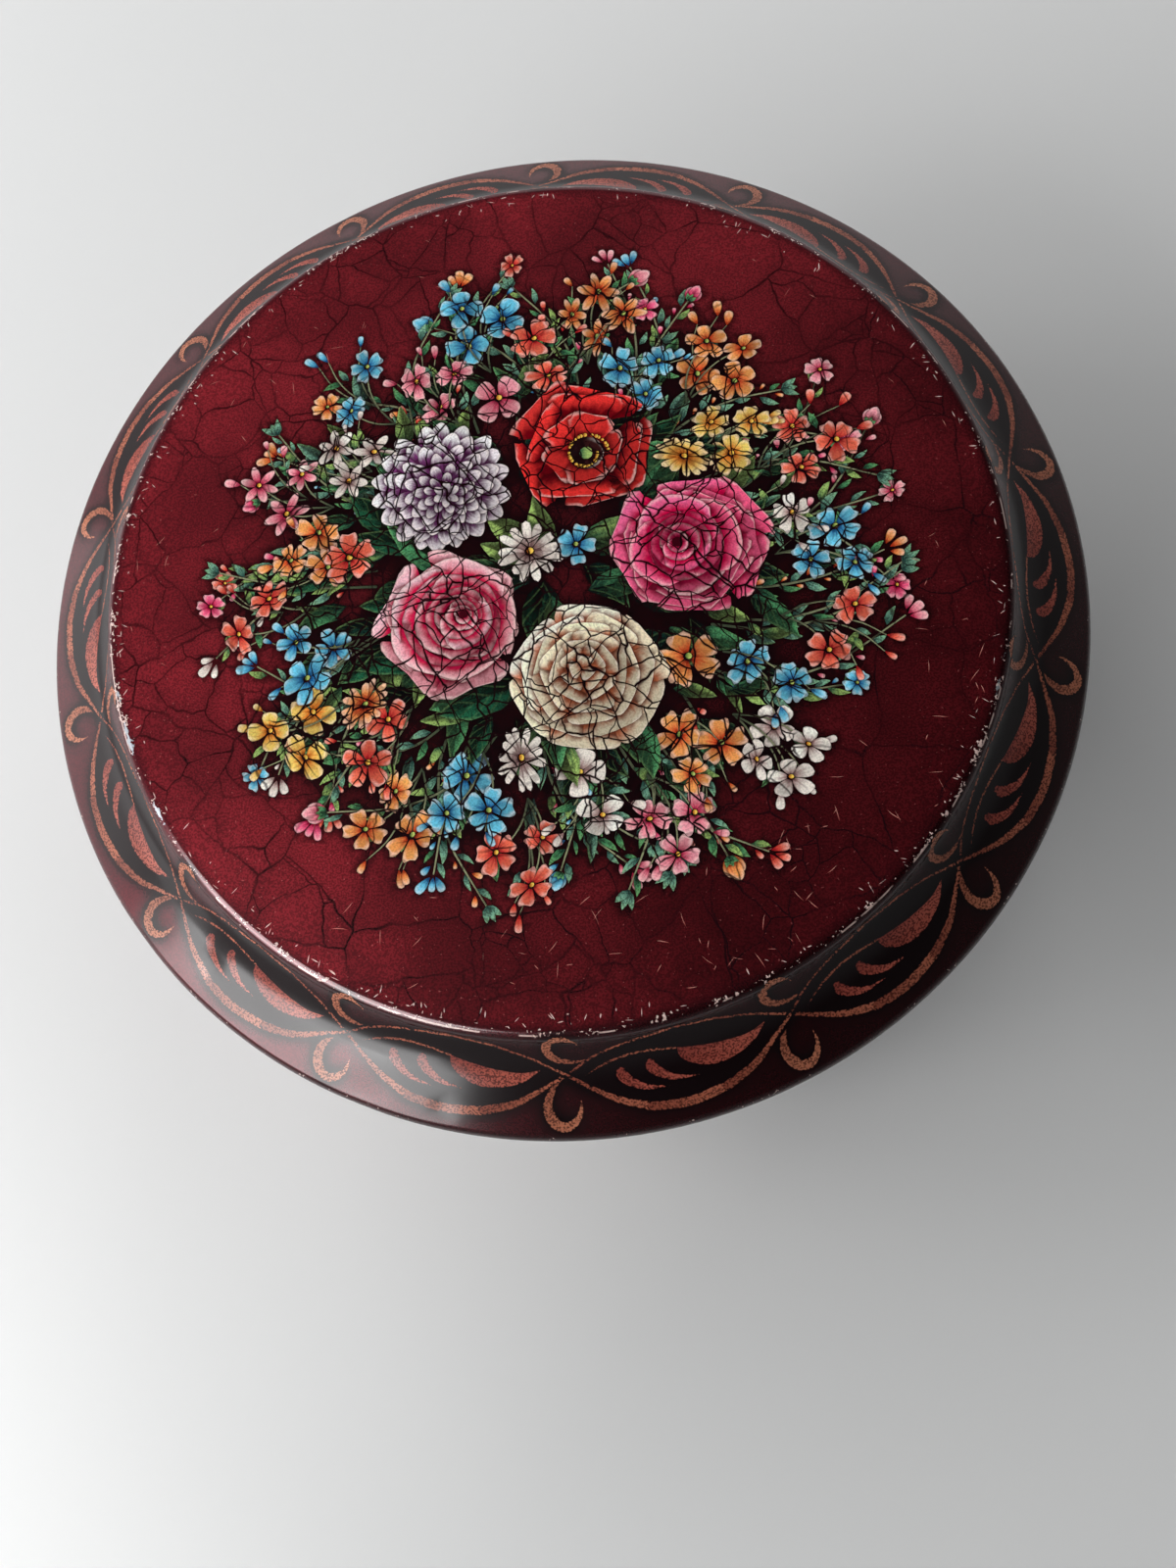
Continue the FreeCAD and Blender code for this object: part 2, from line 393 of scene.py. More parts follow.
def seenEdges(flat, triangles, top):
    # the edges where what shows changes, less the points that only lie on a straight stretch
    pairs = np.sort(triangles[:, [0, 1, 1, 2, 2, 0]].reshape(-1, 2), axis=1)
    owner = np.repeat(top, 3)
    edges, ids, counts = np.unique(pairs, axis=0, return_inverse=True, return_counts=True)
    ids = ids.ravel()
    most, least = np.zeros(len(edges), int), np.full(len(edges), 10 ** 6)
    np.maximum.at(most, ids, owner)
    np.minimum.at(least, ids, owner)
    locked = set(edges[counts == 1].ravel().tolist())     # the sheet's own rim keeps all its points
    beside = {}
    for a, b in edges[(counts == 1) | (most != least)].tolist():
        beside.setdefault(a, set()).add(b)
        beside.setdefault(b, set()).add(a)
    for sweep in range(2):
        resting = set()       # a point next to a dropped one waits for the next sweep
        for v in list(beside):
            if len(beside[v]) != 2 or v in locked or v in resting:
                continue
            a, b = beside[v]
            step, away = flat[b] - flat[a], flat[v] - flat[a]
            size = np.linalg.norm(step)
            if b in beside[a] or size < 1e-6:
                continue
            aside = abs(step[0] * away[1] - step[1] * away[0]) / size
            if aside < cutter["straight"] and 0 < away @ step < size ** 2:
                beside[a].remove(v)
                beside[b].remove(v)
                beside[a].add(b)
                beside[b].add(a)
                del beside[v]
                resting |= {a, b}
    return beside


def cutPrint(shapes, rim, lines, scatter):
    # cuts a flat sheet along every edge that shows; the shape painted last covers the others
    flat, triangles, top = paintLayers(shapes, rim)
    beside = seenEdges(flat, triangles, top)
    places = {v: k for k, v in enumerate(beside)}
    edges = [(places[a], places[b]) for a in beside for b in beside[a] if a < b]
    layers = BVHTree.FromPolygons([(x, y, 0) for x, y in flat], triangles.tolist())

    def shownAt(x, y):
        # which shape shows there; none outside the sheet
        face = layers.ray_cast(Vector((x, y, 1)), Vector((0, 0, -1)))[2]
        return None if face is None else top[face]

    extra = [scatter]
    for k, shape in enumerate(shapes, 1):
        spine = shape["spine"][1:-1] if shape["motif"] == copperMotif else shape["spine"][2:-1:2]
        inside = [p for p in spine
                  if all(shownAt(p[0] + off, p[1]) == k for off in (0, -cutter["probe"], cutter["probe"]))]
        extra.append(np.array(inside).reshape(-1, 2))
    extra = np.vstack(extra)
    corners = KDTree(len(beside))
    for k, v in enumerate(beside):
        corners.insert((*flat[v], 0), k)
    corners.balance()
    extra = [p for p in extra if corners.find((*p, 0))[2] > cutter["clear"]]
    points, rows = stack([flat[list(beside)], np.array(extra)] + lines)
    for row in rows[2:]:
        edges += list(zip(row, row[1:]))
    flat2, triangles2, _ = triangulate(points, edges, [])
    middles = flat2[triangles2].mean(1)
    return flat2, triangles2, np.array([shownAt(x, y) or 0 for x, y in middles])


def spinePlace(points, spine, half):
    # share along the spine, and distance to its side as a share of the half width there
    along = np.concatenate([[0], np.cumsum(np.linalg.norm(np.diff(spine, axis=0), axis=1))])
    best = np.full(len(points), 1e9)
    u, v, width = np.zeros(len(points)), np.zeros(len(points)), np.ones(len(points))
    for k in range(len(spine) - 1):
        step = spine[k + 1] - spine[k]
        size = max(np.linalg.norm(step), 1e-6)
        t = np.clip((points - spine[k]) @ step / size ** 2, 0, 1)
        away = points - spine[k] - t[:, None] * step
        distance = np.linalg.norm(away, axis=1)
        nearer = distance < best
        best = np.where(nearer, distance, best)
        cross = (step[0] * away[:, 1] - step[1] * away[:, 0]) / size
        u = np.where(nearer, (along[k] + t * size) / along[-1], u)
        v = np.where(nearer, cross, v)
        width = np.where(nearer, half[k] + (half[k + 1] - half[k]) * t, width)
    return u, np.clip(v / width, -1, 1), width


def inkCorners(shapes, flat, triangles, top, halo):
    # what the shader reads at each corner of each cut face
    corners = triangles.ravel()
    owner = np.repeat(top, 3)
    highest = np.zeros(len(flat), int)
    casts = np.array([False] + [shape["casts"] for shape in shapes])
    np.maximum.at(highest, corners, np.where(casts[owner], owner, 0))
    petal, relief, motif = (np.zeros((len(corners), 3)) for _ in range(3))
    base, tip = np.zeros((len(corners), 4)), np.ones((len(corners), 4))
    relief[:, 1] = highest[corners] > owner
    relief[:, 2] = halo[corners]
    order = np.argsort(owner, kind="stable")
    starts = np.searchsorted(owner[order], np.arange(len(shapes) + 2))
    for k, shape in enumerate(shapes, 1):
        mine = order[starts[k]:starts[k + 1]]
        if not len(mine):
            continue
        u, v, width = spinePlace(flat[corners[mine]], shape["spine"], shape["half"])
        relief[mine, 0] = (1 - np.abs(v)) * width
        if shape["across"]:
            u, v = 0.5 - 0.5 * v, 2 * u - 1
        shown = np.clip((u - shape["fade"]) / (1 - shape["fade"]), 0, 1)
        petal[mine] = np.stack([shown, v, np.full(len(mine), shape["seed"])], -1)
        motif[mine] = shape["motif"]
        base[mine], tip[mine, :3] = (*shape["base"], shape["inked"]), shape["tip"]
    return {"petal": petal, "relief": relief, "motif": motif, "inkBase": base, "inkTip": tip}


def blurCoverage(flat, triangles, top, cell, reach, wrap=False):
    # how much of each point's surroundings is painted, blurred over a reach in millimetres
    low, high = flat.min(0), flat.max(0)
    counts = np.ceil((high - low) / cell).astype(int)
    shares = np.array([(4, 1, 1), (1, 4, 1), (1, 1, 4), (3, 3, 0), (0, 3, 3), (3, 0, 3)]) / 6
    dots = np.einsum("sk,tkd->tsd", shares, flat[triangles]).reshape(-1, 2)
    weight = np.repeat(triangleAreas(flat, triangles) * (top > 0), len(shares)) / len(shares)
    spans = [np.linspace(low[k], high[k], counts[k] + 1) for k in (0, 1)]
    grid, _, _ = np.histogram2d(dots[:, 0], dots[:, 1], bins=spans, weights=weight)
    size = (high - low) / counts
    grid /= size[0] * size[1]
    for axis in (0, 1):
        steps = int(3 * reach / size[axis])
        taps = np.exp(-0.5 * (np.arange(-steps, steps + 1) * size[axis] / reach) ** 2)
        pad = [(steps, steps) if k == axis else (0, 0) for k in (0, 1)]
        padded = np.pad(grid, pad, mode="wrap" if wrap and axis == 0 else "constant")
        grid = np.apply_along_axis(lambda row: np.convolve(row, taps / taps.sum(), "valid"), axis, padded)
    at = [np.clip((flat[:, k] - low[k]) / size[k] - 0.5, 0, counts[k] - 1.001) for k in (0, 1)]
    (i, fx), (j, fy) = ((a.astype(int), a - a.astype(int)) for a in at)
    return ((1 - fx) * (1 - fy) * grid[i, j] + fx * (1 - fy) * grid[i + 1, j]
            + (1 - fx) * fy * grid[i, j + 1] + fx * fy * grid[i + 1, j + 1])


def setValues(mesh, key, values, domain="POINT"):
    # one number, a direction or a colour for each point or corner
    values = np.asarray(values, np.float32)
    kind, field = {1: ("FLOAT", "value"), 3: ("FLOAT_VECTOR", "vector"),
                   4: ("FLOAT_COLOR", "color")}[1 if values.ndim == 1 else values.shape[1]]
    mesh.attributes.new(key, kind, domain).data.foreach_set(field, values.ravel())


def readValues(items, field, kind=np.float32, size=1):
    values = np.zeros(len(items) * size, kind)
    items.foreach_get(field, values)
    return values


def makeMesh(name, points, faces, along, corners, flip=False):
    mesh = bpy.data.meshes.new(name)
    if flip:
        faces = faces[:, ::-1]
        corners = {key: rows.reshape(len(faces), 3, -1)[:, ::-1].reshape(len(rows), -1)
                   for key, rows in corners.items()}
    mesh.from_pydata((np.asarray(points) * mm).tolist(), [], np.asarray(faces).tolist())
    setValues(mesh, "along", along)
    setValues(mesh, "side", np.zeros(len(points)))
    for key, values in corners.items():
        setValues(mesh, key, values, "CORNER")
    return mesh


# motifs, as the shader tells them apart: leaf, petal, copper
leafMotif, petalMotif, copperMotif, plainMotif = (1, 0, 0), (0, 1, 0), (0, 0, 1), (0, 0, 0)

# The scroll band: two bays that weave, repeated seven times round the tin.
# Points are (share of a bay from its left crossing, millimetres up the sheet from the step's foot,
# half width in millimetres).
band = {
    "bays": 14, "repeats": 7, "ringSides": 336, "startColumn": -94, "middleRadius": 88.0, "gap": 0.5,
    "halo": 1.1, "haloCell": 0.35, "haloShare": 2.4, "groundEdge": (0.2, 2.2),      # the black ground
    "cell": 1.7, "cellsBetween": (-3, 18), "clear": 0.3,        # the mesh between the strokes
    "copper": ((134, 68, 52), (172, 98, 74)), "gold": ((144, 80, 60), (184, 114, 86)),
    "rose": ((138, 60, 50), (178, 90, 74)),
    "arch": [(0, 6.4, .28), (.12, 9.5, .44), (.21, 11.6, .62), (.33, 13.6, .8), (.48, 14.2, .88),
             (.645, 13.5, .84), (.78, 11.6, .64), (.89, 8.9, .4), (1, 6.4, .26)],
    "line": [(0, 6.4, .24), (.12, 3.1, .22), (.28, 1.0, .24), (.49, -.1, .26), (.68, .8, .24),
             (.835, 2.9, .22), (.93, 4.9, .24), (1, 6.4, .26)],
    "hook": [(-.02, 6.4, .22), (-.065, 8.9, .5), (-.09, 12.0, .78), (-.068, 14.8, .95), (-.022, 15.8, .9),
             (.022, 14.7, .6), (.045, 12.8, .32), (.05, 10.6, 0)],
    "scroll": [(.1, 3.5, 0), (.03, 3.9, .36), (-.045, 3.2, .66), (-.082, 1.2, .84), (-.062, -1.0, .86),
               (-.01, -1.9, .7), (.04, -.9, .42), (.062, .7, 0)],
    "leafLine": [(.075, 6.7, 0), (.164, 4.8, .22), (.273, 3.6, .24), (.38, 3.6, .24), (.487, 4.3, .2)],
    "halfMoon": [(.487, 4.2, 0), (.51, 4.5, 2.0), (.56, 4.9, 3.2), (.64, 5.5, 3.7), (.72, 5.9, 3.1),
                 (.80, 6.1, 1.8), (.885, 5.45, 0)],
    "comma": [(0, .9, .8), (.004, 1.7, .98), (.035, 3.0, .84), (.095, 4.35, .5), (.19, 5.0, 0)],
    "commaStarts": [(.232, 5.7), (.361, 5.1)],
}
bayWidth = math.radians(360 / band["bays"]) * band["middleRadius"]
columnAngle = 2 * math.pi / band["ringSides"]
tileColumns = band["ringSides"] // band["repeats"]
tileStart = band["startColumn"] * columnAngle


def paintBand():
    # two bays, and more on each side that the tile's edges cut
    shapes = []

    def draw(key, bay, ink, first=None, last=None, shift=(0, 0), wider=0.0, **settings):
        points = [((bay + shift[0] + x) * bayWidth, shift[1] + y, w + wider)
                  for x, y, w in band[key][first:last]]
        addStroke(shapes, points, ink, copperMotif if ink else plainMotif, casts=False, **settings)

    for bay in range(-1, 4):
        for start in band["commaStarts"]:
            draw("comma", bay, band["rose"], shift=start)
        draw("leafLine", bay, band["copper"])
        draw("halfMoon", bay, band["rose"], sides=(1, 0))
    for bay in range(-1, 5):
        draw("scroll", bay, band["gold"])
        draw("hook", bay, band["gold"])
    for bay in range(-1, 4):
        # at each crossing one line passes over, and the ground shows in a gap beside it
        falling = [("arch", bay - 1, -4, None), ("line", bay, None, 4)]
        rising = [("line", bay - 1, -4, None), ("arch", bay, None, 4)]
        below, above = (falling, rising) if bay % 2 == 0 else (rising, falling)
        for key, where, first, last in below:
            draw(key, where, band["copper"], first, last)
        for key, where, first, last in above:
            draw(key, where, None, -2 if first else None, None if first else 2, wider=band["gap"])
        for key, where, first, last in above:
            draw(key, where, band["copper"], first, last)
        for key in ("arch", "line"):
            draw(key, bay, band["copper"], 3, -3)
    return shapes


def bandHalo(flat, triangles, top):
    # black ground: inside the bays, and softly round the strokes
    share = (flat[:, 0] / bayWidth) % 1.0
    arch, line = np.array(band["arch"]), np.array(band["line"])
    upper = np.interp(share, arch[:, 0], arch[:, 1])
    lower = np.interp(share, line[:, 0], line[:, 1])
    outside = np.maximum(flat[:, 1] - upper, lower - flat[:, 1])
    around = blurCoverage(flat, triangles, top, band["haloCell"], band["halo"], True)
    inside, soft = band["groundEdge"]
    return np.clip(np.maximum(1 - (outside + inside) / soft, around * band["haloShare"]), 0, 1)


def makeTile(name, sheet, shapes, low, high, toAlong, extraRows, startTurn, columns=()):
    # low and high: the tile's edges in the band's own height; toAlong turns heights into path lengths
    width = 2 * bayWidth
    xs = np.linspace(0, width, tileColumns + 1) - bayWidth / 2
    heights = np.array(sorted(set([low, high] + [h for h in extraRows if low < h < high])))
    lines = [np.stack([xs, np.full_like(xs, h)], -1) for h in heights[1:-1]]
    uprights = [xs[0] + c for c in columns] + [xs[-1] - c for c in columns]
    lines += [np.stack([np.full_like(heights, x), heights], -1)[1:-1] for x in uprights]
    rim = [(x, low) for x in xs] + [(xs[-1], h) for h in heights[1:-1]]
    rim = np.array(rim + [(x, high) for x in xs[::-1]] + [(xs[0], h) for h in heights[-2:0:-1]])
    step, clear = band["cell"], band["clear"]
    gridX, gridY = np.meshgrid(np.arange(xs[0] + step / 2, xs[-1] - 0.5, step),
                               np.arange(*band["cellsBetween"], step))
    scatter = np.stack([gridX.ravel(), gridY.ravel()], -1)
    scatter = scatter[(scatter[:, 1] > low + clear) & (scatter[:, 1] < high - clear)]
    flat, triangles, top = cutPrint(shapes, rim, lines, scatter)
    corners = inkCorners(shapes, flat, triangles, top, bandHalo(flat, triangles, top))
    along = toAlong(flat[:, 1])
    angle = startTurn + (flat[:, 0] - xs[0]) / width * tileColumns * columnAngle
    r, z, _ = onSheet(sheet, along, np.zeros(len(flat)))
    points = np.stack([r * np.cos(angle), r * np.sin(angle), z], -1)
    print(name, "tile:", len(shapes), "shapes,", len(triangles), "faces")
    return makeMesh(name, points, triangles, along, corners, True)


lidTile = makeTile("lidTile", lidSheet, paintBand(), plateAlong - footAlong, skirtAlong - footAlong,
                   lambda h: h + footAlong, lidSheet["rows"][:, 3] - footAlong, tileStart)

wallBand = {  # heights in millimetres: the band's top and reach, its lines and their half widths, worn edges
    "top": 35.0, "above": 4.0, "below": 22.0, "soft": 2.0,
    "lines": [(41.0, 0.35), (39.6, 0.18), (9.4, 0.18), (8.0, 0.35)],
    "rows": (-24, 30, 3.0), "worn": [(0.4, 4.2, 1.0), (0.3, 58.0, 2.0)], "wornAll": 0.08,
}
wallLow, wallHigh = wallSheet["stations"][2:4]
# the side seam's fold, where the wall's print starts and ends; columns: how far off it the mesh is cut
foldLine = {"turn": math.pi / 2 + 2 * columnAngle, "depth": 0.16, "reach": 0.2, "columns": (0.22, 0.5)}


def wallHeight(h):
    # the wall's band hangs head down, its feet at the top
    return wallLow + wallBand["top"] - h - wallSheet["bendZ"]


def paintWall():
    shapes = paintBand()
    for z, half in wallBand["lines"]:
        h = wallBand["top"] - z
        ends = [(x * bayWidth, h, half) for x in np.linspace(-1.02, 3.02, 2 * tileColumns + 1)]
        addStroke(shapes, ends, band["copper"], copperMotif, steps=1)
    return shapes


wallTop = wallBand["top"] - (wallHigh - wallLow + wallSheet["bendZ"])
wallBottom = wallBand["top"] - wallSheet["bendZ"]
wallTile = makeTile("wallTile", wallSheet, paintWall(), wallTop, wallBottom, wallHeight,
                    list(np.arange(*wallBand["rows"])), foldLine["turn"], foldLine["columns"])


# The bouquet on the plate: generic garden flowers, painted from the back to the front.
bouquet = {
    "seed": 23, "light": 2.3,       # light: the side, in radians, that the blooms are lit from
    "halo": 3.4, "haloFrom": 0.26, "haloSoft": 0.4, "cell": 1.9, "cellsTo": 68.5,
    "edgeRings": [(71.0, 0.03), (-2.0, 0.025)],     # radius, or below 0 how far inside the edge; turn
    "gridTo": 70, "gridRows": 0.866, "haloCell": 1.0,
    "tints": ["rosePink", "coral", "white", "orange", "turquoise", "rosePink", "hotPink"],
    "twigs": 46, "twigFrom": 30, "twigTips": (52, 62), "twigSway": .45, "twigLeaf": 4.2,
    "blooms": [
        {"form": "dahlia", "at": (-19, 17), "radius": 12.6, "inks": "lilac", "lean": (0.8, -1.2)},
        {"form": "poppy", "at": (6, 24), "radius": 11.8, "inks": "red", "lean": (0.5, -1.0)},
        {"form": "peony", "at": (25, 4), "radius": 13.4, "inks": "hotPink", "lean": (-1.6, 0.6)},
        {"form": "camellia", "at": (7, -19), "radius": 12.8, "inks": "cream", "lean": (-0.6, 1.2)},
        {"form": "ranunculus", "at": (-17, -9), "radius": 12.6, "inks": "pink", "lean": (1.8, 1.2)},
    ],
    # middle size flowers beside the blooms: place, radius, kind and ink
    "daisies": [((-3, 4), 5.6, "daisy", "white"), ((24, 21), 5.2, "daisy", "yellow"),
                ((-35, 4), 5.0, "five", "coral"), ((-4, -33), 5.2, "daisy", "white"),
                ((24, -16), 5.2, "five", "orange"), ((-9, 34), 4.8, "four", "rosePink"),
                ((5, 5), 3.6, "five", "turquoise"), ((-31, -23), 4.8, "daisy", "orange")],
    # small flowers: degrees round, reach, ink, how many and how far apart
    "groups": [
        (3, 49, "turquoise", 3, 7.4), (13, 39, "white", 2, 7.4), (26, 51, "coral", 3, 8),
        (38, 41, "yellow", 3, 7), (52, 50, "orange", 4, 8.2), (66, 41, "turquoise", 3, 7),
        (80, 51, "orange", 4, 8), (92, 42, "coral", 2, 7), (105, 51, "turquoise", 3, 8),
        (119, 42, "rosePink", 3, 7), (133, 51, "turquoise", 2, 8), (147, 42, "white", 3, 7),
        (160, 51, "rosePink", 3, 8), (173, 42, "orange", 3, 7), (187, 52, "coral", 2, 7),
        (199, 43, "turquoise", 3, 7), (213, 51, "yellow", 3, 8), (226, 41, "coral", 2, 7),
        (239, 50, "orange", 3, 8), (252, 42, "turquoise", 3, 7), (266, 50, "coral", 3, 8),
        (281, 40, "white", 2, 7), (295, 50, "rosePink", 3, 7.4), (308, 41, "orange", 3, 7),
        (320, 51, "white", 4, 7.6), (333, 42, "turquoise", 2, 7), (347, 51, "coral", 2, 8)],
    # rings of leaves, from the back to the front: count, reach, lengths, width as a share, inks
    "backLeaves": [(40, (34, 47), (6, 10), .32, ["leafMid", "leafGrey", "leafMid", "leafLight"]),
                   (40, (25, 38), (8, 13), .36,
                    ["leafDark", "leafMid", "leafMid", "leafLight", "leafBlack"])],
    "frontLeaves": [(30, (22, 31), (7, 11), .38, ["leafDark", "leafMid", "leafBlack", "leafLight"]),
                    (18, (15, 22), (14, 18), .4, ["leafBlack", "leafDark", "leafMid"]),
                    (10, (1, 8), (11, 15), .42, ["leafMid", "leafDark", "leafLight"])],
}
inkPairs = {
    "lilac": ((104, 44, 96), (250, 240, 244)), "red": ((96, 0, 12), (244, 54, 50)),
    "hotPink": ((176, 0, 58), (255, 98, 142)), "cream": ((184, 98, 62), (254, 240, 206)),
    "pink": ((192, 18, 66), (255, 172, 182)), "orange": ((206, 56, 26), (252, 168, 92)),
    "coral": ((190, 26, 36), (252, 116, 88)), "turquoise": ((8, 84, 146), (110, 204, 232)),
    "white": ((170, 130, 126), (248, 240, 228)), "yellow": ((220, 112, 28), (252, 214, 110)),
    "rosePink": ((192, 30, 76), (252, 158, 170)), "leafBlack": ((5, 11, 13), (16, 48, 40)),
    "leafDark": ((7, 20, 20), (30, 92, 64)), "leafMid": ((14, 46, 40), (84, 158, 104)),
    "leafLight": ((36, 86, 62), (172, 204, 112)), "leafGrey": ((28, 66, 64), (128, 182, 156)),
    "stem": ((56, 66, 50), (142, 146, 112)), "eye": ((180, 90, 20), (252, 214, 92)),
    "eyeDark": ((24, 10, 14), (60, 24, 24)), "eyeGreen": ((60, 92, 40), (196, 210, 110)),
}
bloomRings = {
    # form, open petals from the outside in: count, reach, width
    # then a wrapped heart from the inside out: count, reach, thickness, all as shares of the bloom's radius
    "dahlia": ("pointed", [(18, 1.0, .3), (17, .87, .27), (15, .73, .24), (13, .59, .2), (11, .45, .17),
                           (9, .32, .14), (6, .2, .12)], []),
    "peony": ("ruffled", [(6, 1.0, 1.0), (6, .86, .86), (5, .72, .8)],
              [(2, .07, .1), (3, .16, .14), (3, .26, .18), (4, .37, .2), (4, .49, .23)]),
    "camellia": ("round", [(6, 1.0, .98), (6, .86, .86), (6, .71, .74), (5, .57, .66), (5, .43, .52),
                           (4, .29, .38), (3, .17, .24)], []),
    "ranunculus": ("heart", [(5, 1.0, 1.2), (6, .86, .92)],
                   [(2, .06, .09), (3, .14, .12), (3, .23, .15), (3, .33, .18), (4, .44, .2), (4, .56, .22),
                    (5, .68, .22)]),
    "poppy": ("ruffled", [(5, 1.0, 1.15), (4, .86, 1.05), (5, .62, .7)], []),
}
flowerKinds = {  # petals, width of each as a share of the radius, form
    "five": (5, .74, "heart"), "round": (5, .7, "round"), "four": (4, .86, "round"),
    "star": (6, .44, "pointed"), "daisy": (13, .3, "round"),
}


def shaded(ink, share):
    return tuple(tuple(np.clip(np.array(c) * share, 0, 255)) for c in ink)


def addCup(shapes, centre, radius, turn, span, thick, ink, dice):
    # a petal wrapped round the flower's heart: its rim, on the inner side, is the light one
    t = np.linspace(0, 1, 12)
    angle = turn + span * (t - 0.5)
    swell = np.sin(math.pi * t) ** 0.6
    slip = dice.uniform(-.12, .12) * (t - 0.5)
    inner = radius * (1 + slip + 0.1 * np.abs(2 * t - 1) ** 2)
    outer = inner + thick * swell * (1 + 0.1 * np.sin(t * 9 + turn))
    outward = rays(angle)
    spine = centre + ((inner + outer) / 2)[:, None] * outward
    addShape(shapes, spine, centre + inner[:, None] * outward, centre + outer[:, None] * outward,
             shaded(ink, dice.uniform(*petalPaint["tones"])), petalMotif,
             seed=dice.uniform(0, petalPaint["seeds"]), across=True)


bloomPaint = {  # shares of the bloom's radius, a petal's length or its colour; turns in radians
    "neat": 0.35,       # how loose a dahlia's and a camellia's petals lie, next to 1 for the others
    "ringTurn": 0.15, "petalTurn": 0.2, "bow": 0.2, "shorter": 0.1, "longer": 0.05,
    "deepTone": 0.24, "litTone": 0.16, "hidden": 0.5, "fade": 0.6, "lean": 1.6,
    "cupTurn": 0.9, "cupSway": .3, "cupSpan": 1.4, "cupRadius": (.94, 1.06), "cupThick": (.85, 1.15),
    "cupTone": 0.9, "cupLit": 0.2, "heartReach": 0.35, "heartPad": 0.06, "heartTone": .55,
    "eye": .27, "pistil": .1, "stamens": 30, "stamenTurn": 2.4, "stamenFrom": 0.17, "stamenRadius": (.24, .4),
}


def paintBloom(shapes, bloom, dice):
    p = bloomPaint
    form, rings, cups = bloomRings[bloom["form"]]
    ink = inkPairs[bloom["inks"]]
    radius, lean = bloom["radius"], np.array(bloom["lean"])
    loose = p["neat"] if form in ("pointed", "round") else 1.0
    turn = dice.uniform(0, aTurn)
    for k, (count, reach, width) in enumerate(rings):
        inner = rings[k + 1][1] if k + 1 < len(rings) else (cups[-1][1] + cups[-1][2] if cups else 0.0)
        put = place(np.array(bloom["at"]) + lean * (1 - reach) * p["lean"])
        turn += math.pi / count + dice.uniform(-p["ringTurn"], p["ringTurn"])
        order = list(range(count))
        dice.shuffle(order)
        for n in order:
            angle = turn + 2 * math.pi * n / count + dice.uniform(-p["petalTurn"], p["petalTurn"]) * loose
            start = radius * inner * p["hidden"]
            length = radius * reach * dice.uniform(1 - p["shorter"] * loose, 1 + p["longer"] * loose) - start
            lit = p["litTone"] * math.cos(angle - bouquet["light"]) * reach
            tone = 1 - p["deepTone"] * (1 - reach) + lit
            wide = radius * width * dice.uniform(*petalPaint["widths"])
            bow = dice.uniform(-p["bow"], p["bow"])
            addPetal(shapes, put, angle, length, wide, shaded(ink, tone), form, petalMotif, dice,
                     fade=inner / reach * p["fade"], curve=bow, start=start)
    if cups:
        centre = np.array(bloom["at"]) + lean * p["lean"] / 2
        heart = radius * (cups[-1][1] + p["heartPad"])
        dark = shaded((ink[0], ink[0]), p["heartTone"])
        addDisc(shapes, place(centre), (0, 0), heart, dark, plainMotif, 20)
    for count, reach, thick in cups:
        turn += p["cupTurn"] + dice.uniform(-p["cupSway"], p["cupSway"])
        centre = np.array(bloom["at"]) + lean * (1 - reach) * p["lean"]
        for n in range(count):
            angle = turn + 2 * math.pi * n / count + dice.uniform(-p["petalTurn"], p["petalTurn"])
            lit = math.cos(angle - bouquet["light"] + aTurn / 2 * (reach < p["heartReach"]))
            tone = p["cupTone"] + p["litTone"] * reach + p["cupLit"] * lit
            bowl = radius * reach * dice.uniform(*p["cupRadius"])
            addCup(shapes, centre, bowl, angle, 2 * math.pi / count * p["cupSpan"],
                   radius * thick * dice.uniform(*p["cupThick"]), shaded(ink, tone), dice)
    put = place(np.array(bloom["at"]) + lean * p["lean"])
    if bloom["form"] == "poppy":
        addDisc(shapes, put, (0, 0), radius * p["eye"], inkPairs["eyeDark"], petalMotif, 16)
        for n in range(p["stamens"]):
            angle = n * p["stamenTurn"]
            reach = radius * (p["stamenFrom"] + p["stamenFrom"] * ((n * 0.618) % 1))
            at = (reach * math.cos(angle), reach * math.sin(angle))
            addDisc(shapes, put, at, dice.uniform(*p["stamenRadius"]), inkPairs["eye"], plainMotif, 6)
        addDisc(shapes, put, (0, 0), radius * p["pistil"], inkPairs["leafLight"], plainMotif, 10)


flowerPaint = {  # shares of the flower's radius; a turn in radians
    "tilts": (0.66, 1.0), "petalTurn": 0.12, "lengths": (0.84, 1.08), "start": 0.06,
    "eyeRim": .17, "eye": .11, "eyeAt": (.02, .03),
}


def paintFlower(shapes, at, radius, kind, inks, dice):
    p = flowerPaint
    count, width, form = flowerKinds[kind]
    put = place(at, 1.0, dice.uniform(*p["tilts"]), dice.uniform(0, aTurn / 2))
    turn = dice.uniform(0, aTurn)
    for n in range(count):
        angle = turn + 2 * math.pi * n / count + dice.uniform(-p["petalTurn"], p["petalTurn"])
        length = radius * dice.uniform(*p["lengths"])
        wide = radius * width * dice.uniform(*petalPaint["widths"])
        ink = shaded(inkPairs[inks], dice.uniform(*petalPaint["tones"]))
        addPetal(shapes, put, angle, length, wide, ink, form, petalMotif, dice,
                 count=9 if count < 10 else 6, start=radius * p["start"])
    eye = inkPairs["eyeGreen"] if inks in ("turquoise", "orange") else inkPairs["eye"]
    addDisc(shapes, put, (0, 0), radius * p["eyeRim"], inkPairs["eyeDark"], plainMotif, 8)
    addDisc(shapes, put, tuple(radius * a for a in p["eyeAt"]), radius * p["eye"], eye, plainMotif, 8)


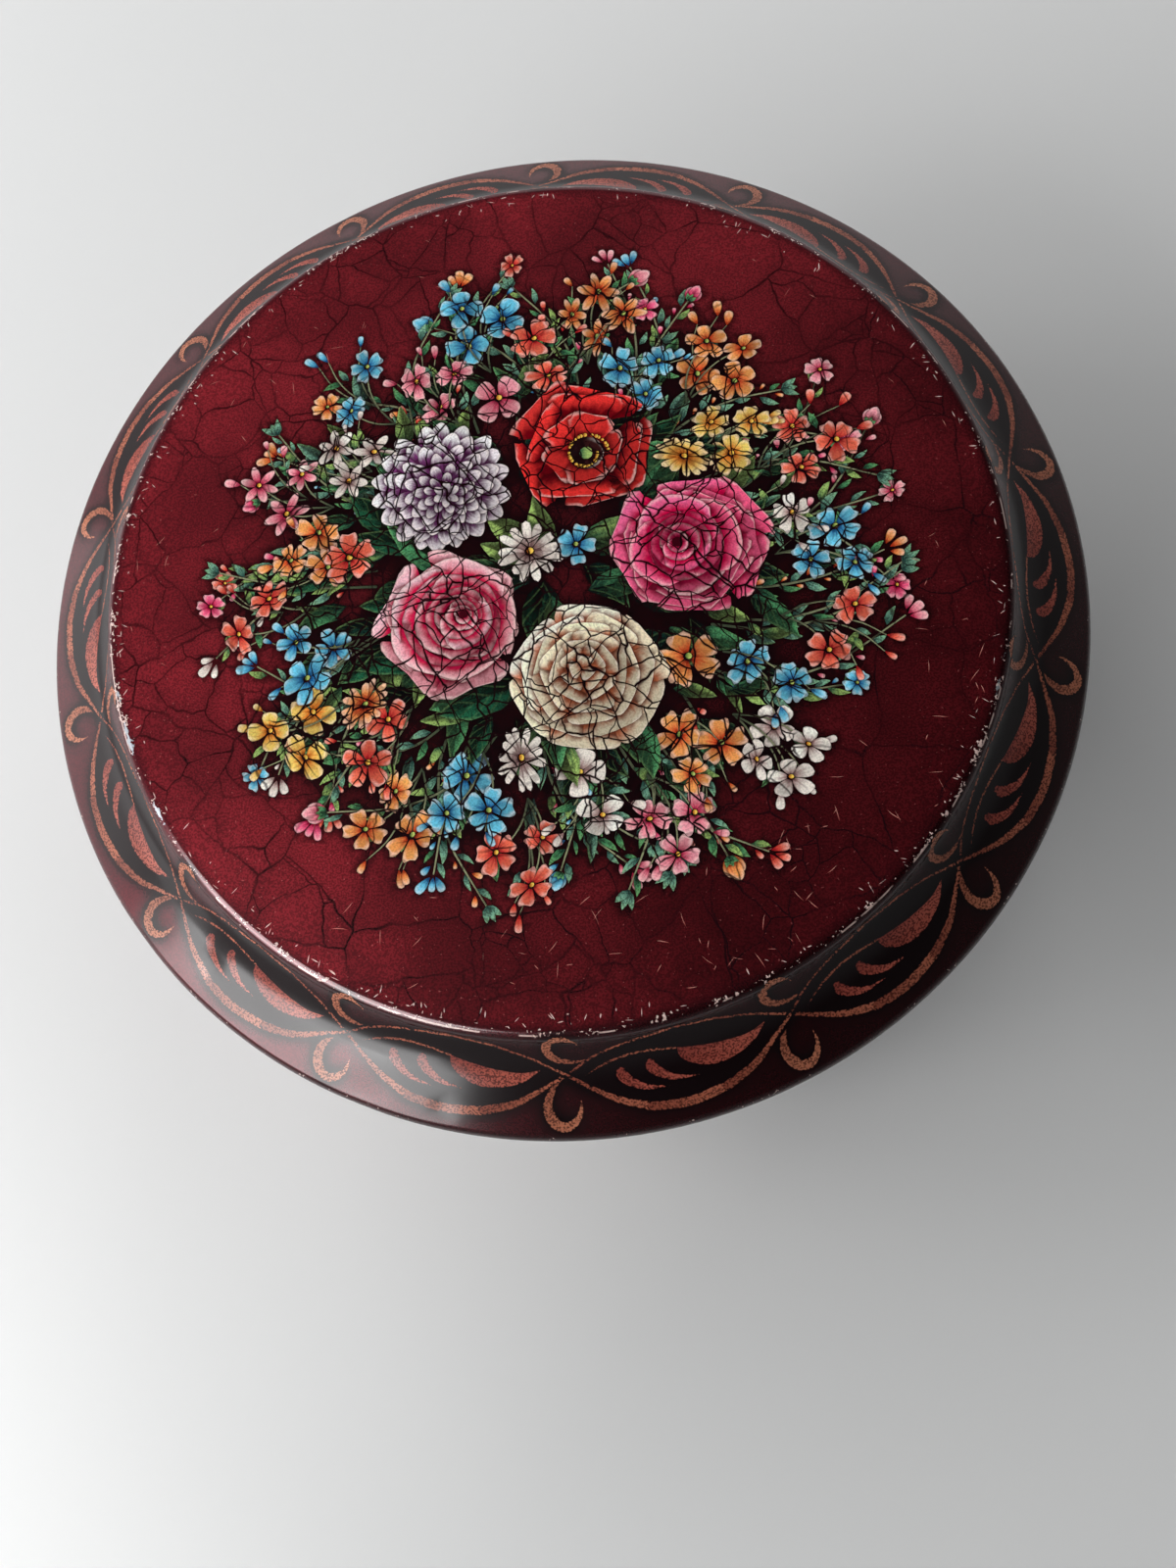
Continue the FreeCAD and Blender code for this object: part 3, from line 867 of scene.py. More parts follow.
def paintLeaf(shapes, at, angle, length, width, inks, dice, curve=0.0):
    addPetal(shapes, place(at), angle, length, width, inkPairs[inks], "leaf", leafMotif, dice,
             curve=curve, split=length > 5, count=9 if length > 5 else 6)


def paintStem(shapes, points, width, inks="stem"):
    addStroke(shapes, [(x, y, width * w) for (x, y), w in zip(points, (1, .85, .7, .5))], inkPairs[inks],
              plainMotif, steps=4)


def stemLine(angle, start, end, sway):
    # four points of a stem that leaves the middle and sways to one side
    reach = np.linspace(start, end, 4)
    turn = angle + sway * np.linspace(0, 1, 4) ** 1.5
    return np.stack([reach * np.cos(turn), reach * np.sin(turn)], -1)


def paintBud(shapes, at, angle, size, inks, dice):
    put = place(at)
    for turn, tall, wide in ((.35, .8, .5), (-.35, .8, .5), (0, 1, .55)):
        addPetal(shapes, put, angle + turn, size * tall, size * wide, inkPairs[inks], "pointed", petalMotif,
                 dice, count=7)
    for turn in (.6, 0, -.6):
        addPetal(shapes, put, angle + turn, size * .45, size * .22, inkPairs["leafMid"], "leaf", leafMotif,
                 dice, count=5)


def paintDrop(shapes, at, angle, size, inks, dice):
    # a closed bud, as one drop
    wide = size * dice.uniform(.42, .56)
    addPetal(shapes, place(at), angle, size, wide, inkPairs[inks], "round", petalMotif, dice, count=8)


def paintTwigTip(shapes, at, angle, inks, dice):
    # what a twig ends in: a bud, a few drops, a small floret or some leaves
    kind = dice.choice(["bud", "drops", "drops", "floret", "leaves"])
    if kind == "bud":
        paintBud(shapes, at, angle, dice.uniform(3.4, 4.8), inks, dice)
    elif kind == "drops":
        for turn in (.8, -.7, .05):
            foot = at + ray(angle + turn) * dice.uniform(.4, 1.2)
            paintDrop(shapes, foot, angle + turn * .8, dice.uniform(2.2, 3.4), inks, dice)
    elif kind == "floret":
        paintFlower(shapes, at, dice.uniform(2.2, 2.9), "five", inks, dice)
    else:
        for turn in (.5, 0, -.5):
            paintLeaf(shapes, at, angle + turn, dice.uniform(2.8, 3.8), 1.2, "leafGrey", dice)


twigPaint = {  # millimetres and radians
    "stem": 0.24, "leafTurn": (0.45, 0.9), "leafGap": (0.1, 0.9), "leafSize": (0.7, 1.2), "taper": 0.5,
    "leafWidth": (.26, .38), "leafBow": 0.6, "leafInks": ["leafMid", "leafLight", "leafGrey", "leafGrey"],
    "dropShare": 0.35, "dropTurn": (0.4, 0.8), "dropGap": 1.2, "dropSize": (1.2, 2.2),
}


def paintTwig(shapes, line, dice, inks):
    p = twigPaint
    paintStem(shapes, line, p["stem"])
    path = smoothLine(line, 8)
    ahead = np.gradient(path, axis=0)
    heading = np.arctan2(ahead[:, 1], ahead[:, 0])
    for k in range(4, len(path) - 1, 2):
        side = 1 if k % 4 else -1
        turn = heading[k] + side * dice.uniform(*p["leafTurn"])
        gap = dice.uniform(*p["leafGap"])
        size = bouquet["twigLeaf"] * dice.uniform(*p["leafSize"]) * (1.2 - p["taper"] * k / len(path))
        foot = path[k] + gap * ray(turn)
        paintLeaf(shapes, foot, turn, size, size * dice.uniform(*p["leafWidth"]),
                  dice.choice(p["leafInks"]), dice, curve=-side * p["leafBow"])
        if dice.random() < p["dropShare"]:
            other = heading[k] - side * dice.uniform(*p["dropTurn"])
            speck = path[k] + p["dropGap"] * ray(other)
            paintDrop(shapes, speck, other, dice.uniform(*p["dropSize"]), inks, dice)
    paintTwigTip(shapes, path[-1], heading[-1], inks, dice)


groupPaint = {  # millimetres and radians
    "kinds": ["five", "five", "round", "star", "four"], "spread": 0.58, "sizes": (3.4, 4.6), "stem": 0.18,
    "buds": 3, "budTurn": 1.2, "budReach": (.8, 1.15), "budSize": (1.8, 3.2), "budStem": 0.16,
    "leafTurn": .9, "leafSize": (2.6, 4.2), "leafWidth": 1.2, "leafBow": .6,
    "leafInks": ["leafMid", "leafLight", "leafGrey"],
}


def paintGroup(shapes, degrees, reach, inks, count, apart, dice):
    # a spray: its flowers stand apart, with buds between them and leaves at its foot
    p = groupPaint
    angle = math.radians(degrees)
    middle = ray(angle) * reach
    kind = dice.choice(p["kinds"])
    turn = dice.uniform(0, aTurn)
    spots = [middle + apart * p["spread"] * (count > 1) * ray(turn + aTurn * n / count) for n in range(count)]
    for bud in range(p["buds"]):
        away = angle + dice.uniform(-p["budTurn"], p["budTurn"])
        tip = middle + ray(away) * apart * dice.uniform(*p["budReach"])
        paintStem(shapes, stemTo(middle * 0.9, tip), p["budStem"])
        paintDrop(shapes, tip, away, dice.uniform(*p["budSize"]), inks, dice)
        heading = away + dice.uniform(-p["leafTurn"], p["leafTurn"])
        paintLeaf(shapes, (middle * 0.94 + tip) / 2, heading, dice.uniform(*p["leafSize"]), p["leafWidth"],
                  dice.choice(p["leafInks"]), dice, dice.uniform(-p["leafBow"], p["leafBow"]))
    for at in spots:
        paintStem(shapes, stemTo(middle * 0.8, at), p["stem"])
        paintFlower(shapes, at, dice.uniform(*p["sizes"]), kind, inks, dice)


def stemTo(start, end):
    # four points of a stem that bows to its left
    share = np.linspace(0, 1, 4)[:, None]
    step = np.asarray(end) - start
    return start + step * share + np.array([-step[1], step[0]]) * 0.12 * np.sin(share * math.pi)


def ringOfLeaves(shapes, count, reaches, lengths, wide, inks, dice):
    for n in range(count):
        angle = 2 * math.pi * (n + dice.uniform(-.3, .3)) / count
        reach = dice.uniform(*reaches)
        length = dice.uniform(*lengths)
        at = (reach * math.cos(angle), reach * math.sin(angle))
        paintLeaf(shapes, at, angle + dice.uniform(-.8, .8), length, length * wide * dice.uniform(.85, 1.15),
                  dice.choice(inks), dice, dice.uniform(-.6, .6))


def paintBouquet():
    dice = random.Random(bouquet["seed"])
    shapes = []
    for n in range(bouquet["twigs"]):
        angle = 2 * math.pi * n / bouquet["twigs"] + dice.uniform(-.09, .09)
        end = dice.uniform(*bouquet["twigTips"])
        sway = dice.uniform(-bouquet["twigSway"], bouquet["twigSway"])
        line = stemLine(angle, bouquet["twigFrom"], end, sway)
        paintTwig(shapes, line, dice, dice.choice(bouquet["tints"]))
    for ring in bouquet["backLeaves"]:
        ringOfLeaves(shapes, *ring, dice)
    for group in sorted(bouquet["groups"], key=lambda g: -g[1]):
        paintGroup(shapes, *group, dice)
    for ring in bouquet["frontLeaves"]:
        ringOfLeaves(shapes, *ring, dice)
    for daisy in bouquet["daisies"]:
        paintFlower(shapes, *daisy, dice)
    for bloom in bouquet["blooms"]:
        paintBloom(shapes, bloom, dice)
    return shapes


scratches = {  # scratches and edge flakes: how many, where they lie (degrees, radius), and how they look
    "seed": 5, "areas": [(46, (-75, -15), (58, 76)), (20, (-120, -75), (56, 75)), (12, (-15, 60), (62, 75)),
                         (26, (100, 200), (60, 75))],
    "length": (0.8, 3.0), "half": (0.03, 0.07), "bow": .1, "ink": ((158, 70, 66), (214, 146, 134)),
    "edgeCount": 380, "edgeFrom": 0.3, "edgeReach": 2.2, "edgeFalloff": 3.2, "clear": 0.1,
    "edgeLength": (0.3, 1.7), "edgeHalf": (0.04, 0.12), "edgeInk": ((196, 140, 134), (236, 212, 206)),
    "slants": [0, 0, 0.5, -0.5, 1.5], "sway": .3,       # how an edge flake turns from straight outwards
    "kept": 0.35, "keptMore": 0.9,      # the share of flakes kept anywhere, and more where they crowd
}


def paintHair(shapes, at, heading, length, half, ink, bow):
    step = ray(heading) * length / 2
    points = [(*(at + step * t + np.array([-step[1], step[0]]) * bow * (1 - t * t)), half * w)
              for t, w in ((-1, 0), (-.4, 1), (.3, .8), (1, 0))]
    if max(math.hypot(x, y) for x, y, _ in points) < plateRadius - scratches["clear"]:
        addStroke(shapes, points, ink, plainMotif, steps=1, casts=False)


def paintScratches(shapes):
    s = scratches
    dice = random.Random(s["seed"])
    for count, turns, reaches in s["areas"]:
        for n in range(count):
            angle, reach = math.radians(dice.uniform(*turns)), dice.uniform(*reaches)
            heading = dice.uniform(0, aTurn / 2)
            paintHair(shapes, ray(angle) * reach, heading, dice.uniform(*s["length"]),
                      dice.uniform(*s["half"]), s["ink"], dice.uniform(-s["bow"], s["bow"]))
    for n in range(s["edgeCount"]):
        angle = dice.uniform(0, aTurn)
        crowd = 0.5 + 0.5 * math.sin(angle * 5 + 2 * math.sin(angle * 3)) * math.sin(angle * 11)
        if dice.random() > s["kept"] + s["keptMore"] * crowd:
            continue
        reach = plateRadius - s["edgeFrom"] - s["edgeReach"] * dice.random() ** s["edgeFalloff"]
        heading = angle + dice.choice(s["slants"]) + dice.uniform(-s["sway"], s["sway"])
        paintHair(shapes, ray(angle) * reach, heading,
                  dice.uniform(*s["edgeLength"]), dice.uniform(*s["edgeHalf"]), s["edgeInk"], 0)


plateRadius = float(np.interp(plateAlong, lidSheet["fine"][:, 3], lidSheet["fine"][:, 0]))


def makePlate():
    shapes = paintBouquet()
    paintScratches(shapes)
    angles = np.arange(band["ringSides"]) * columnAngle
    rim = rays(angles) * plateRadius
    spacing, to = bouquet["cell"], bouquet["gridTo"]
    rows = np.arange(-to, to, spacing * bouquet["gridRows"])
    xs = np.arange(-to, to, spacing)
    scatter = np.array([(x + (k % 2) * spacing / 2, y) for k, y in enumerate(rows) for x in xs])
    scatter = scatter[np.linalg.norm(scatter, axis=1) < bouquet["cellsTo"]]
    rings = [rays(np.arange(0, aTurn, step)) * (r if r > 0 else plateRadius + r)
             for r, step in bouquet["edgeRings"]]
    flat, triangles, top = cutPrint(shapes, rim, [], np.vstack([scatter] + rings))
    soft = np.array([0] + [k if shape["casts"] else 0 for k, shape in enumerate(shapes, 1)])
    painted = blurCoverage(flat, triangles, soft[top], bouquet["haloCell"], bouquet["halo"])
    halo = np.clip((painted - bouquet["haloFrom"]) / bouquet["haloSoft"], 0, 1)
    corners = inkCorners(shapes, flat, triangles, top, halo)
    crown = lidSheet["fine"][lidSheet["fine"][:, 3] <= plateAlong + 1e-6]
    along = np.interp(np.linalg.norm(flat, axis=1), crown[:, 0], crown[:, 3])
    _, z, _ = onSheet(lidSheet, along, np.zeros(len(flat)))
    print("bouquet:", len(shapes), "shapes,", len(triangles), "faces")
    return makeMesh("plate", np.column_stack([flat, z]), triangles, along, corners)


# Shader and tree helpers
def addNode(tree, kind, inputs=None, **settings):
    made = tree.nodes.new(kind)
    for key, value in settings.items():
        setattr(made, key, value)
    for key, value in (inputs or {}).items():
        socket = made.inputs[key]
        if isinstance(value, bpy.types.NodeSocket):
            tree.links.new(value, socket)
        else:
            socket.default_value = value
    return made


def mathNode(tree, operation, a, b=0.0):
    return addNode(tree, "ShaderNodeMath", {0: a, 1: b}, operation=operation).outputs[0]


def smoothStep(tree, value, low, high, to):
    return addNode(tree, "ShaderNodeMapRange", {"Value": value, 1: low, 2: high, 3: to[0], 4: to[1]},
                   interpolation_type="SMOOTHSTEP").outputs[0]


class Mixer:
    # short names for the nodes that a finish is mixed from; mm is the place on the piece in millimetres
    def __init__(self, name):
        self.material = bpy.data.materials.new(name)
        self.material.use_nodes = True
        self.tree = self.material.node_tree
        self.tree.nodes.clear()
        self.out = addNode(self.tree, "ShaderNodeOutputMaterial")
        self.shader = addNode(self.tree, "ShaderNodeBsdfPrincipled")
        self.tree.links.new(self.shader.outputs[0], self.out.inputs["Surface"])
        metres = addNode(self.tree, "ShaderNodeTexCoord").outputs["Object"]
        scaled = addNode(self.tree, "ShaderNodeMapping", {"Vector": metres, "Scale": (1000, 1000, 1000)})
        self.mm = scaled.outputs[0]

    def math(self, operation, a, b=0.0):
        return mathNode(self.tree, operation, a, b)

    def plus(self, a, b):
        return self.math("ADD", a, b)

    def minus(self, a, b):
        return self.math("SUBTRACT", a, b)

    def times(self, a, b):
        return self.math("MULTIPLY", a, b)

    def most(self, a, b):
        return self.math("MAXIMUM", a, b)

    def ramp(self, value, low, high, to=(0.0, 1.0)):
        return smoothStep(self.tree, value, low, high, to)

    def mix(self, share, a, b, blend="MIX"):
        a, b = ((*c, 1.0) if isinstance(c, tuple) and len(c) == 3 else c for c in (a, b))
        return addNode(self.tree, "ShaderNodeMix", {0: share, 6: a, 7: b}, data_type="RGBA",
                       blend_type=blend).outputs[2]

    def noise(self, size, vector=None, detail=2.0, rough=0.5):
        # size: millimetres of one blob
        inputs = {"Vector": vector or self.mm, "Scale": 1.0 / size, "Detail": detail, "Roughness": rough}
        return addNode(self.tree, "ShaderNodeTexNoise", inputs).outputs[0]

    def wander(self, vector, size, amount):
        # moves a pattern's places about by a share of the amount, over a size in millimetres
        inputs = {"Vector": vector, "Scale": 1.0 / size, "Detail": 1.0}
        made = addNode(self.tree, "ShaderNodeTexNoise", inputs)
        away = self.vector("SUBTRACT", made.outputs[1], (0.5, 0.5, 0.5))
        return self.vector("ADD", vector, self.vector("SCALE", away, None, amount))

    def vector(self, operation, a, b, scale=None):
        inputs = {0: a, 1: b} if scale is None else {0: a, "Scale": scale}
        return addNode(self.tree, "ShaderNodeVectorMath", inputs, operation=operation).outputs[0]

    def attribute(self, name):
        return addNode(self.tree, "ShaderNodeAttribute", attribute_name=name)

    def split(self, vector):
        return addNode(self.tree, "ShaderNodeSeparateXYZ", {0: vector}).outputs

    def join(self, x, y, z):
        return addNode(self.tree, "ShaderNodeCombineXYZ", {0: x, 1: y, 2: z}).outputs[0]

    def cells(self, size, vector):
        # flat cells: the distance to the nearest edge in millimetres, and a colour for each cell
        inputs = {"Vector": vector, "Scale": 1.0 / size}
        edge, whole = (addNode(self.tree, "ShaderNodeTexVoronoi", inputs, feature=feature,
                               voronoi_dimensions="2D") for feature in ("DISTANCE_TO_EDGE", "F1"))
        return self.times(edge.outputs[0], size), whole.outputs["Color"]

    def bump(self, height, distance, strength):
        return addNode(self.tree, "ShaderNodeBump", {
            "Height": height, "Distance": distance * mm, "Strength": strength}).outputs[0]

    def grey(self, value):
        return addNode(self.tree, "ShaderNodeCombineColor", {0: value, 1: value, 2: value}).outputs[0]

    def finish(self, **sockets):
        for key, value in sockets.items():
            socket = self.shader.inputs[key.replace("_", " ")]
            if isinstance(value, bpy.types.NodeSocket):
                self.tree.links.new(value, socket)
            else:
                socket.default_value = value
        return self.material


printInks = {  # colours from 0 to 255 as seen
    "ground": (82, 18, 24), "groundLight": (110, 27, 34), "border": (60, 14, 20), "black": (12, 4, 6),
    "shade": (26, 7, 10), "crack": (24, 5, 9), "chip": (226, 198, 190), "metal": (150, 154, 160),
    "fleck": (176, 92, 92), "rimLight": (255, 240, 230), "veins": (132, 168, 104),
}
printFinish = {  # sizes and heights in millimetres, the rest shares
    "fade": (2.2, 0.6), "paintedLightAlong": (0.64, -0.77, 0.0), "paintedLightBetween": (-90, 90),      # painted light: the red brighter on one side and darker on the other, across the tin
    "skirtShadeBetween": (57.0, 61.0), "skirtShade": 0.62,       # painted shade: heights where the shoulder's red turns duller, darker on the skirt below
    "lacquer": 0.5,     # how much the tin shines through the red
    "cracks": [(14.0, 0.19, 0.4), (8.5, 0.17, 0.92), (5.5, 0.15, 1.0)],     # size, half width, whole cells
    "waver": [(11.0, 4.4), (2.8, 1.5)], "breadth": (0.75, 1.25), "faint": (0.42, 0.85),     # of the cracks
    "dip": 2.2, "dipShade": 0.14,       # how far from a crack the ground is darker
    "grain": 0.34, "grainShade": 0.5, "mottle": 24.0, "flecks": 0.5,        # the print's dots and stains
    "haloShade": 0.95, "castShade": (0.3, 0.75),        # black round the painted shapes, and under them
    "streaks": (1.1, 3.4, 0.9), "deep": (0.7, 7.0, 0.3),        # in a petal: along, across, how strong
    "rimLit": 0.4, "veins": (0.28, 34.0, 0.12), "leafRim": 0.35, "outline": 0.45, "overlap": 0.85,
    "stipple": (0.22, 0.3, 0.56),       # dots in all ink, and more in leaves and in copper
    "flakes": 0.6, "clusters": (3.4, -0.09, 0.07), "flakeLevel": 0.97, "flakeWear": 0.45,       # worn edges
    "chipCover": 0.85, "bareCover": 0.9,
    "rough": (0.34, 0.42), "coat": (0.7, 0.17), "bump": (0.009, 0.6),
}


def makePrintedFinish(name, p, rolledRadius=0.0, scuffAt=None):
    # rolledRadius: of a wall, whose crackle is laid out flat and meets itself at the back
    # scuffAt: how far along the sheet an edge lies that is rubbed to a bright line in places
    m = Mixer(name)
    inks = {key: tuple(linear(colour)) for key, colour in printInks.items()}
    wear, crackle, bared = m.split(m.attribute("zone").outputs["Vector"])
    u, v, seed = m.split(m.attribute("petal").outputs["Vector"])
    edge, under, halo = m.split(m.attribute("relief").outputs["Vector"])
    leafy, petaly, coppery = m.split(m.attribute("motif").outputs["Vector"])
    inkBase, inked = (m.attribute("inkBase").outputs[key] for key in ("Color", "Alpha"))
    inkTip = m.attribute("inkTip").outputs["Color"]

    # crackle: cells within cells, so that the finer lines end at the coarser ones
    sheet = m.mm
    if rolledRadius:
        x, y, z = m.split(m.mm)
        turn = m.math("ARCTAN2", x, m.times(y, -1.0))
        sheet = m.join(m.times(turn, rolledRadius), z, 0.0)
    places = m.wander(m.wander(sheet, *p["waver"][0]), *p["waver"][1])
    breadth = m.ramp(m.noise(6.0, detail=1.0), 0.3, 0.7, p["breadth"])
    crack, tone, dip, here = 0.0, 0.0, 0.0, 1.0
    for size, half, share in p["cracks"]:
        distance, cell = m.cells(size, places)
        line = m.ramp(m.math("DIVIDE", distance, breadth), half * 0.3, half * 1.5, (1.0, 0.0))
        crack = m.most(m.times(line, here), crack)
        dip = m.most(m.times(m.ramp(distance, 0.0, p["dip"], (1.0, 0.0)), here), dip)
        red, green, _ = m.split(cell)
        tone = m.plus(m.times(red, 0.07), tone)
        places = m.vector("ADD", places, m.vector("SCALE", cell, None, 50.0))
        split = m.most(m.ramp(green, share, share + 0.01), m.ramp(halo, 0.5, 0.9))
        here = m.times(here, split)
    faint = m.most(m.ramp(m.noise(9.0, detail=1.0), 0.35, 0.65, p["faint"]), m.ramp(halo, 0.4, 0.9))
    crack = m.times(crack, m.times(crackle, faint))

    # ground: mottled maroon with the dots of the print, and painted light across it
    dots = m.noise(p["grain"], detail=1.0)
    cloud = m.plus(m.noise(p["mottle"], detail=3.0), m.minus(tone, 0.1))
    ground = m.mix(m.ramp(cloud, 0.3, 0.7), inks["ground"], inks["groundLight"])
    ground = m.mix(m.ramp(crackle, 0, 1, (1.0, 0.0)), ground, inks["border"])
    ground = m.mix(m.times(m.ramp(dots, 0.4, 0.6), p["grainShade"]), ground, inks["shade"])
    ground = m.mix(m.times(m.times(dip, crackle), p["dipShade"]), ground, inks["shade"])
    # painted light: the ground brighter towards one side of the tin and darker towards the other, with
    # painted shade on the skirt
    across = addNode(m.tree, "ShaderNodeVectorMath", {0: m.mm, 1: p["paintedLightAlong"]}, operation="DOT_PRODUCT")
    paintedLightAndShade = m.times(m.ramp(across.outputs["Value"], *p["paintedLightBetween"], p["fade"]),
                   m.ramp(m.split(m.mm)[2], *p["skirtShadeBetween"], (p["skirtShade"], 1.0)))
    ground = m.mix(1.0, ground, m.grey(paintedLightAndShade), "MULTIPLY")
    flecks = m.times(m.ramp(m.noise(p["flecks"], detail=1.0), 0.72, 0.78), m.ramp(halo, 0, 0.5, (0.45, 0.0)))
    ground = m.mix(m.times(flecks, crackle), ground, inks["fleck"])
    ground = m.mix(m.times(halo, p["haloShade"]), ground, inks["black"])
    ground = m.mix(m.times(under, m.ramp(crackle, 0, 1, p["castShade"])), ground, inks["black"])

    # ink: from a petal's base to its tip, with streaks, a lit rim, a soft outline and shade from above
    along, sideways, strength = p["streaks"]
    streak = m.noise(1.0, m.join(m.times(u, along), m.times(v, sideways), seed), 3.0, 0.6)
    blend = m.plus(u, m.times(m.minus(streak, 0.5), strength))
    ink = m.mix(m.ramp(blend, 0.02, 0.8), inkBase, inkTip)
    along, sideways, strength = p["deep"]
    deep = m.ramp(m.noise(1.0, m.join(m.times(u, along), m.times(v, sideways), seed)), 0.56, 0.74)
    ink = m.mix(m.times(m.times(deep, petaly), strength), ink, inkBase)
    lit = m.times(m.ramp(edge, 0.25, 0.9, (1.0, 0.0)), m.ramp(u, 0.45, 0.95))
    ink = m.mix(m.times(m.times(lit, petaly), p["rimLit"]), ink, inks["rimLight"])
    lean, waves, strength = p["veins"]
    slant = m.minus(u, m.times(m.math("ABSOLUTE", v), lean))
    vein = m.ramp(m.math("SINE", m.times(slant, waves)), 0.6, 1.0)
    ink = m.mix(m.times(m.times(vein, leafy), strength), ink, inks["veins"])
    leafRim = m.times(m.ramp(edge, 0.1, 0.5, (1.0, 0.0)), m.times(leafy, m.ramp(u, 0.3, 0.9)))
    ink = m.mix(m.times(leafRim, p["leafRim"]), ink, inks["veins"])
    shadow = m.mix(0.35, m.mix(1.0, inkBase, (0.3, 0.22, 0.25), "MULTIPLY"), inks["shade"])
    outline = m.times(m.ramp(edge, 0.02, 0.2, (1.0, 0.0)), petaly)
    ink = m.mix(m.times(outline, p["outline"]), ink, shadow)
    ink = m.mix(m.times(m.math("POWER", under, 1.5), p["overlap"]), ink, shadow)
    inAll, inLeaves, inCopper = p["stipple"]
    part = m.plus(m.times(leafy, inLeaves), m.times(coppery, inCopper))
    stipple = m.times(m.ramp(dots, 0.43, 0.53, (1.0, 0.0)), m.plus(part, inAll))
    ink = m.mix(stipple, ink, m.mix(0.5, shadow, inks["shade"]))
    softEdge = m.ramp(m.plus(edge, m.times(m.minus(dots, 0.5), 0.8)), 0.0, 0.16)
    inked = m.times(inked, m.most(m.ramp(coppery, 0, 1, (1.0, 0.0)), softEdge))
    colour = m.mix(inked, ground, ink)
    colour = m.mix(crack, colour, inks["crack"])

    # wear: chips and bare metal along worn edges, in clusters
    clusters = m.ramp(m.noise(p["clusters"][0], detail=1.0), 0.3, 0.7, p["clusters"][1:])
    flakes = m.noise(p["flakes"], detail=2.0, rough=0.6)
    level = m.minus(p["flakeLevel"], m.plus(m.times(wear, p["flakeWear"]), clusters))
    chip = m.ramp(m.minus(flakes, level), 0.0, 0.03)
    if scuffAt:
        off = m.math("ABSOLUTE", m.minus(m.attribute("along").outputs["Fac"], scuffAt))
        rubbed = m.plus(m.noise(6.0, detail=3.0, rough=0.6), m.times(wear, 0.05))
        chip = m.most(chip, m.times(m.ramp(off, 0.07, 0.2, (0.8, 0.0)), m.ramp(rubbed, 0.58, 0.62)))
    patches = m.times(m.minus(m.noise(0.9, detail=3.0, rough=0.7), 0.5), 0.9)
    bare = m.ramp(m.plus(patches, bared), 0.45, 0.55)
    colour = m.mix(m.times(chip, p["chipCover"]), colour, inks["chip"])
    colour = m.mix(m.times(bare, p["bareCover"]), colour, inks["metal"])
    rough = m.plus(m.ramp(crackle, 0, 1, p["rough"]), m.times(m.minus(dots, 0.5), 0.1))
    rough = m.plus(rough, m.times(m.most(crack, m.most(chip, bare)), 0.2))
    cover = m.most(m.most(inked, halo), m.most(crack, chip))
    shine = m.most(m.ramp(cover, 0, 1, (p["lacquer"], 0.0)), m.times(bare, p["bareCover"]))
    height = m.minus(m.times(dots, m.ramp(crackle, 0, 1, (0.2, 1.0))),
                    m.times(m.plus(crack, m.times(chip, 2.0)), 1.5))
    return m.finish(Base_Color=colour, Metallic=shine, Roughness=rough, Normal=m.bump(height, *p["bump"]),
                    Coat_Weight=p["coat"][0], Coat_Roughness=p["coat"][1], Specular_IOR_Level=0.0)


bareFinish = {  # the rolled tin: its clouds, fine lines along x, and stains; sizes in millimetres
    "dull": (0.38, 0.37, 0.345), "bright": (0.5, 0.49, 0.465), "cloudSize": 22.0,
    "line": (0.6, 0.59, 0.57), "lineSize": 0.5, "lineShare": 0.3, "stretch": 0.04,
    "stain": (0.3, 0.26, 0.21), "stainSize": 3.2, "stainShare": 0.35,
    "rough": (0.32, 0.46), "bump": (0.01, 0.5),
}


def makeBareFinish(p):
    m = Mixer("bare_tin")
    x, y, z = m.split(m.mm)
    lines = m.noise(p["lineSize"], m.join(m.times(x, p["stretch"]), y, z), 3.0, 0.65)
    cloud = m.noise(p["cloudSize"], detail=4.0, rough=0.6)
    stains = m.ramp(m.noise(p["stainSize"], detail=5.0, rough=0.7), 0.66, 0.76)
    colour = m.mix(m.ramp(cloud, 0.3, 0.7), p["dull"], p["bright"])
    colour = m.mix(m.times(m.ramp(lines, 0.3, 0.75), p["lineShare"]), colour, p["line"])
    colour = m.mix(m.times(stains, p["stainShare"]), colour, p["stain"])
    rough = m.plus(m.ramp(lines, 0.25, 0.8, p["rough"]), m.times(stains, 0.2))
    return m.finish(Base_Color=colour, Roughness=rough, Normal=m.bump(lines, *p["bump"]), Metallic=1.0)


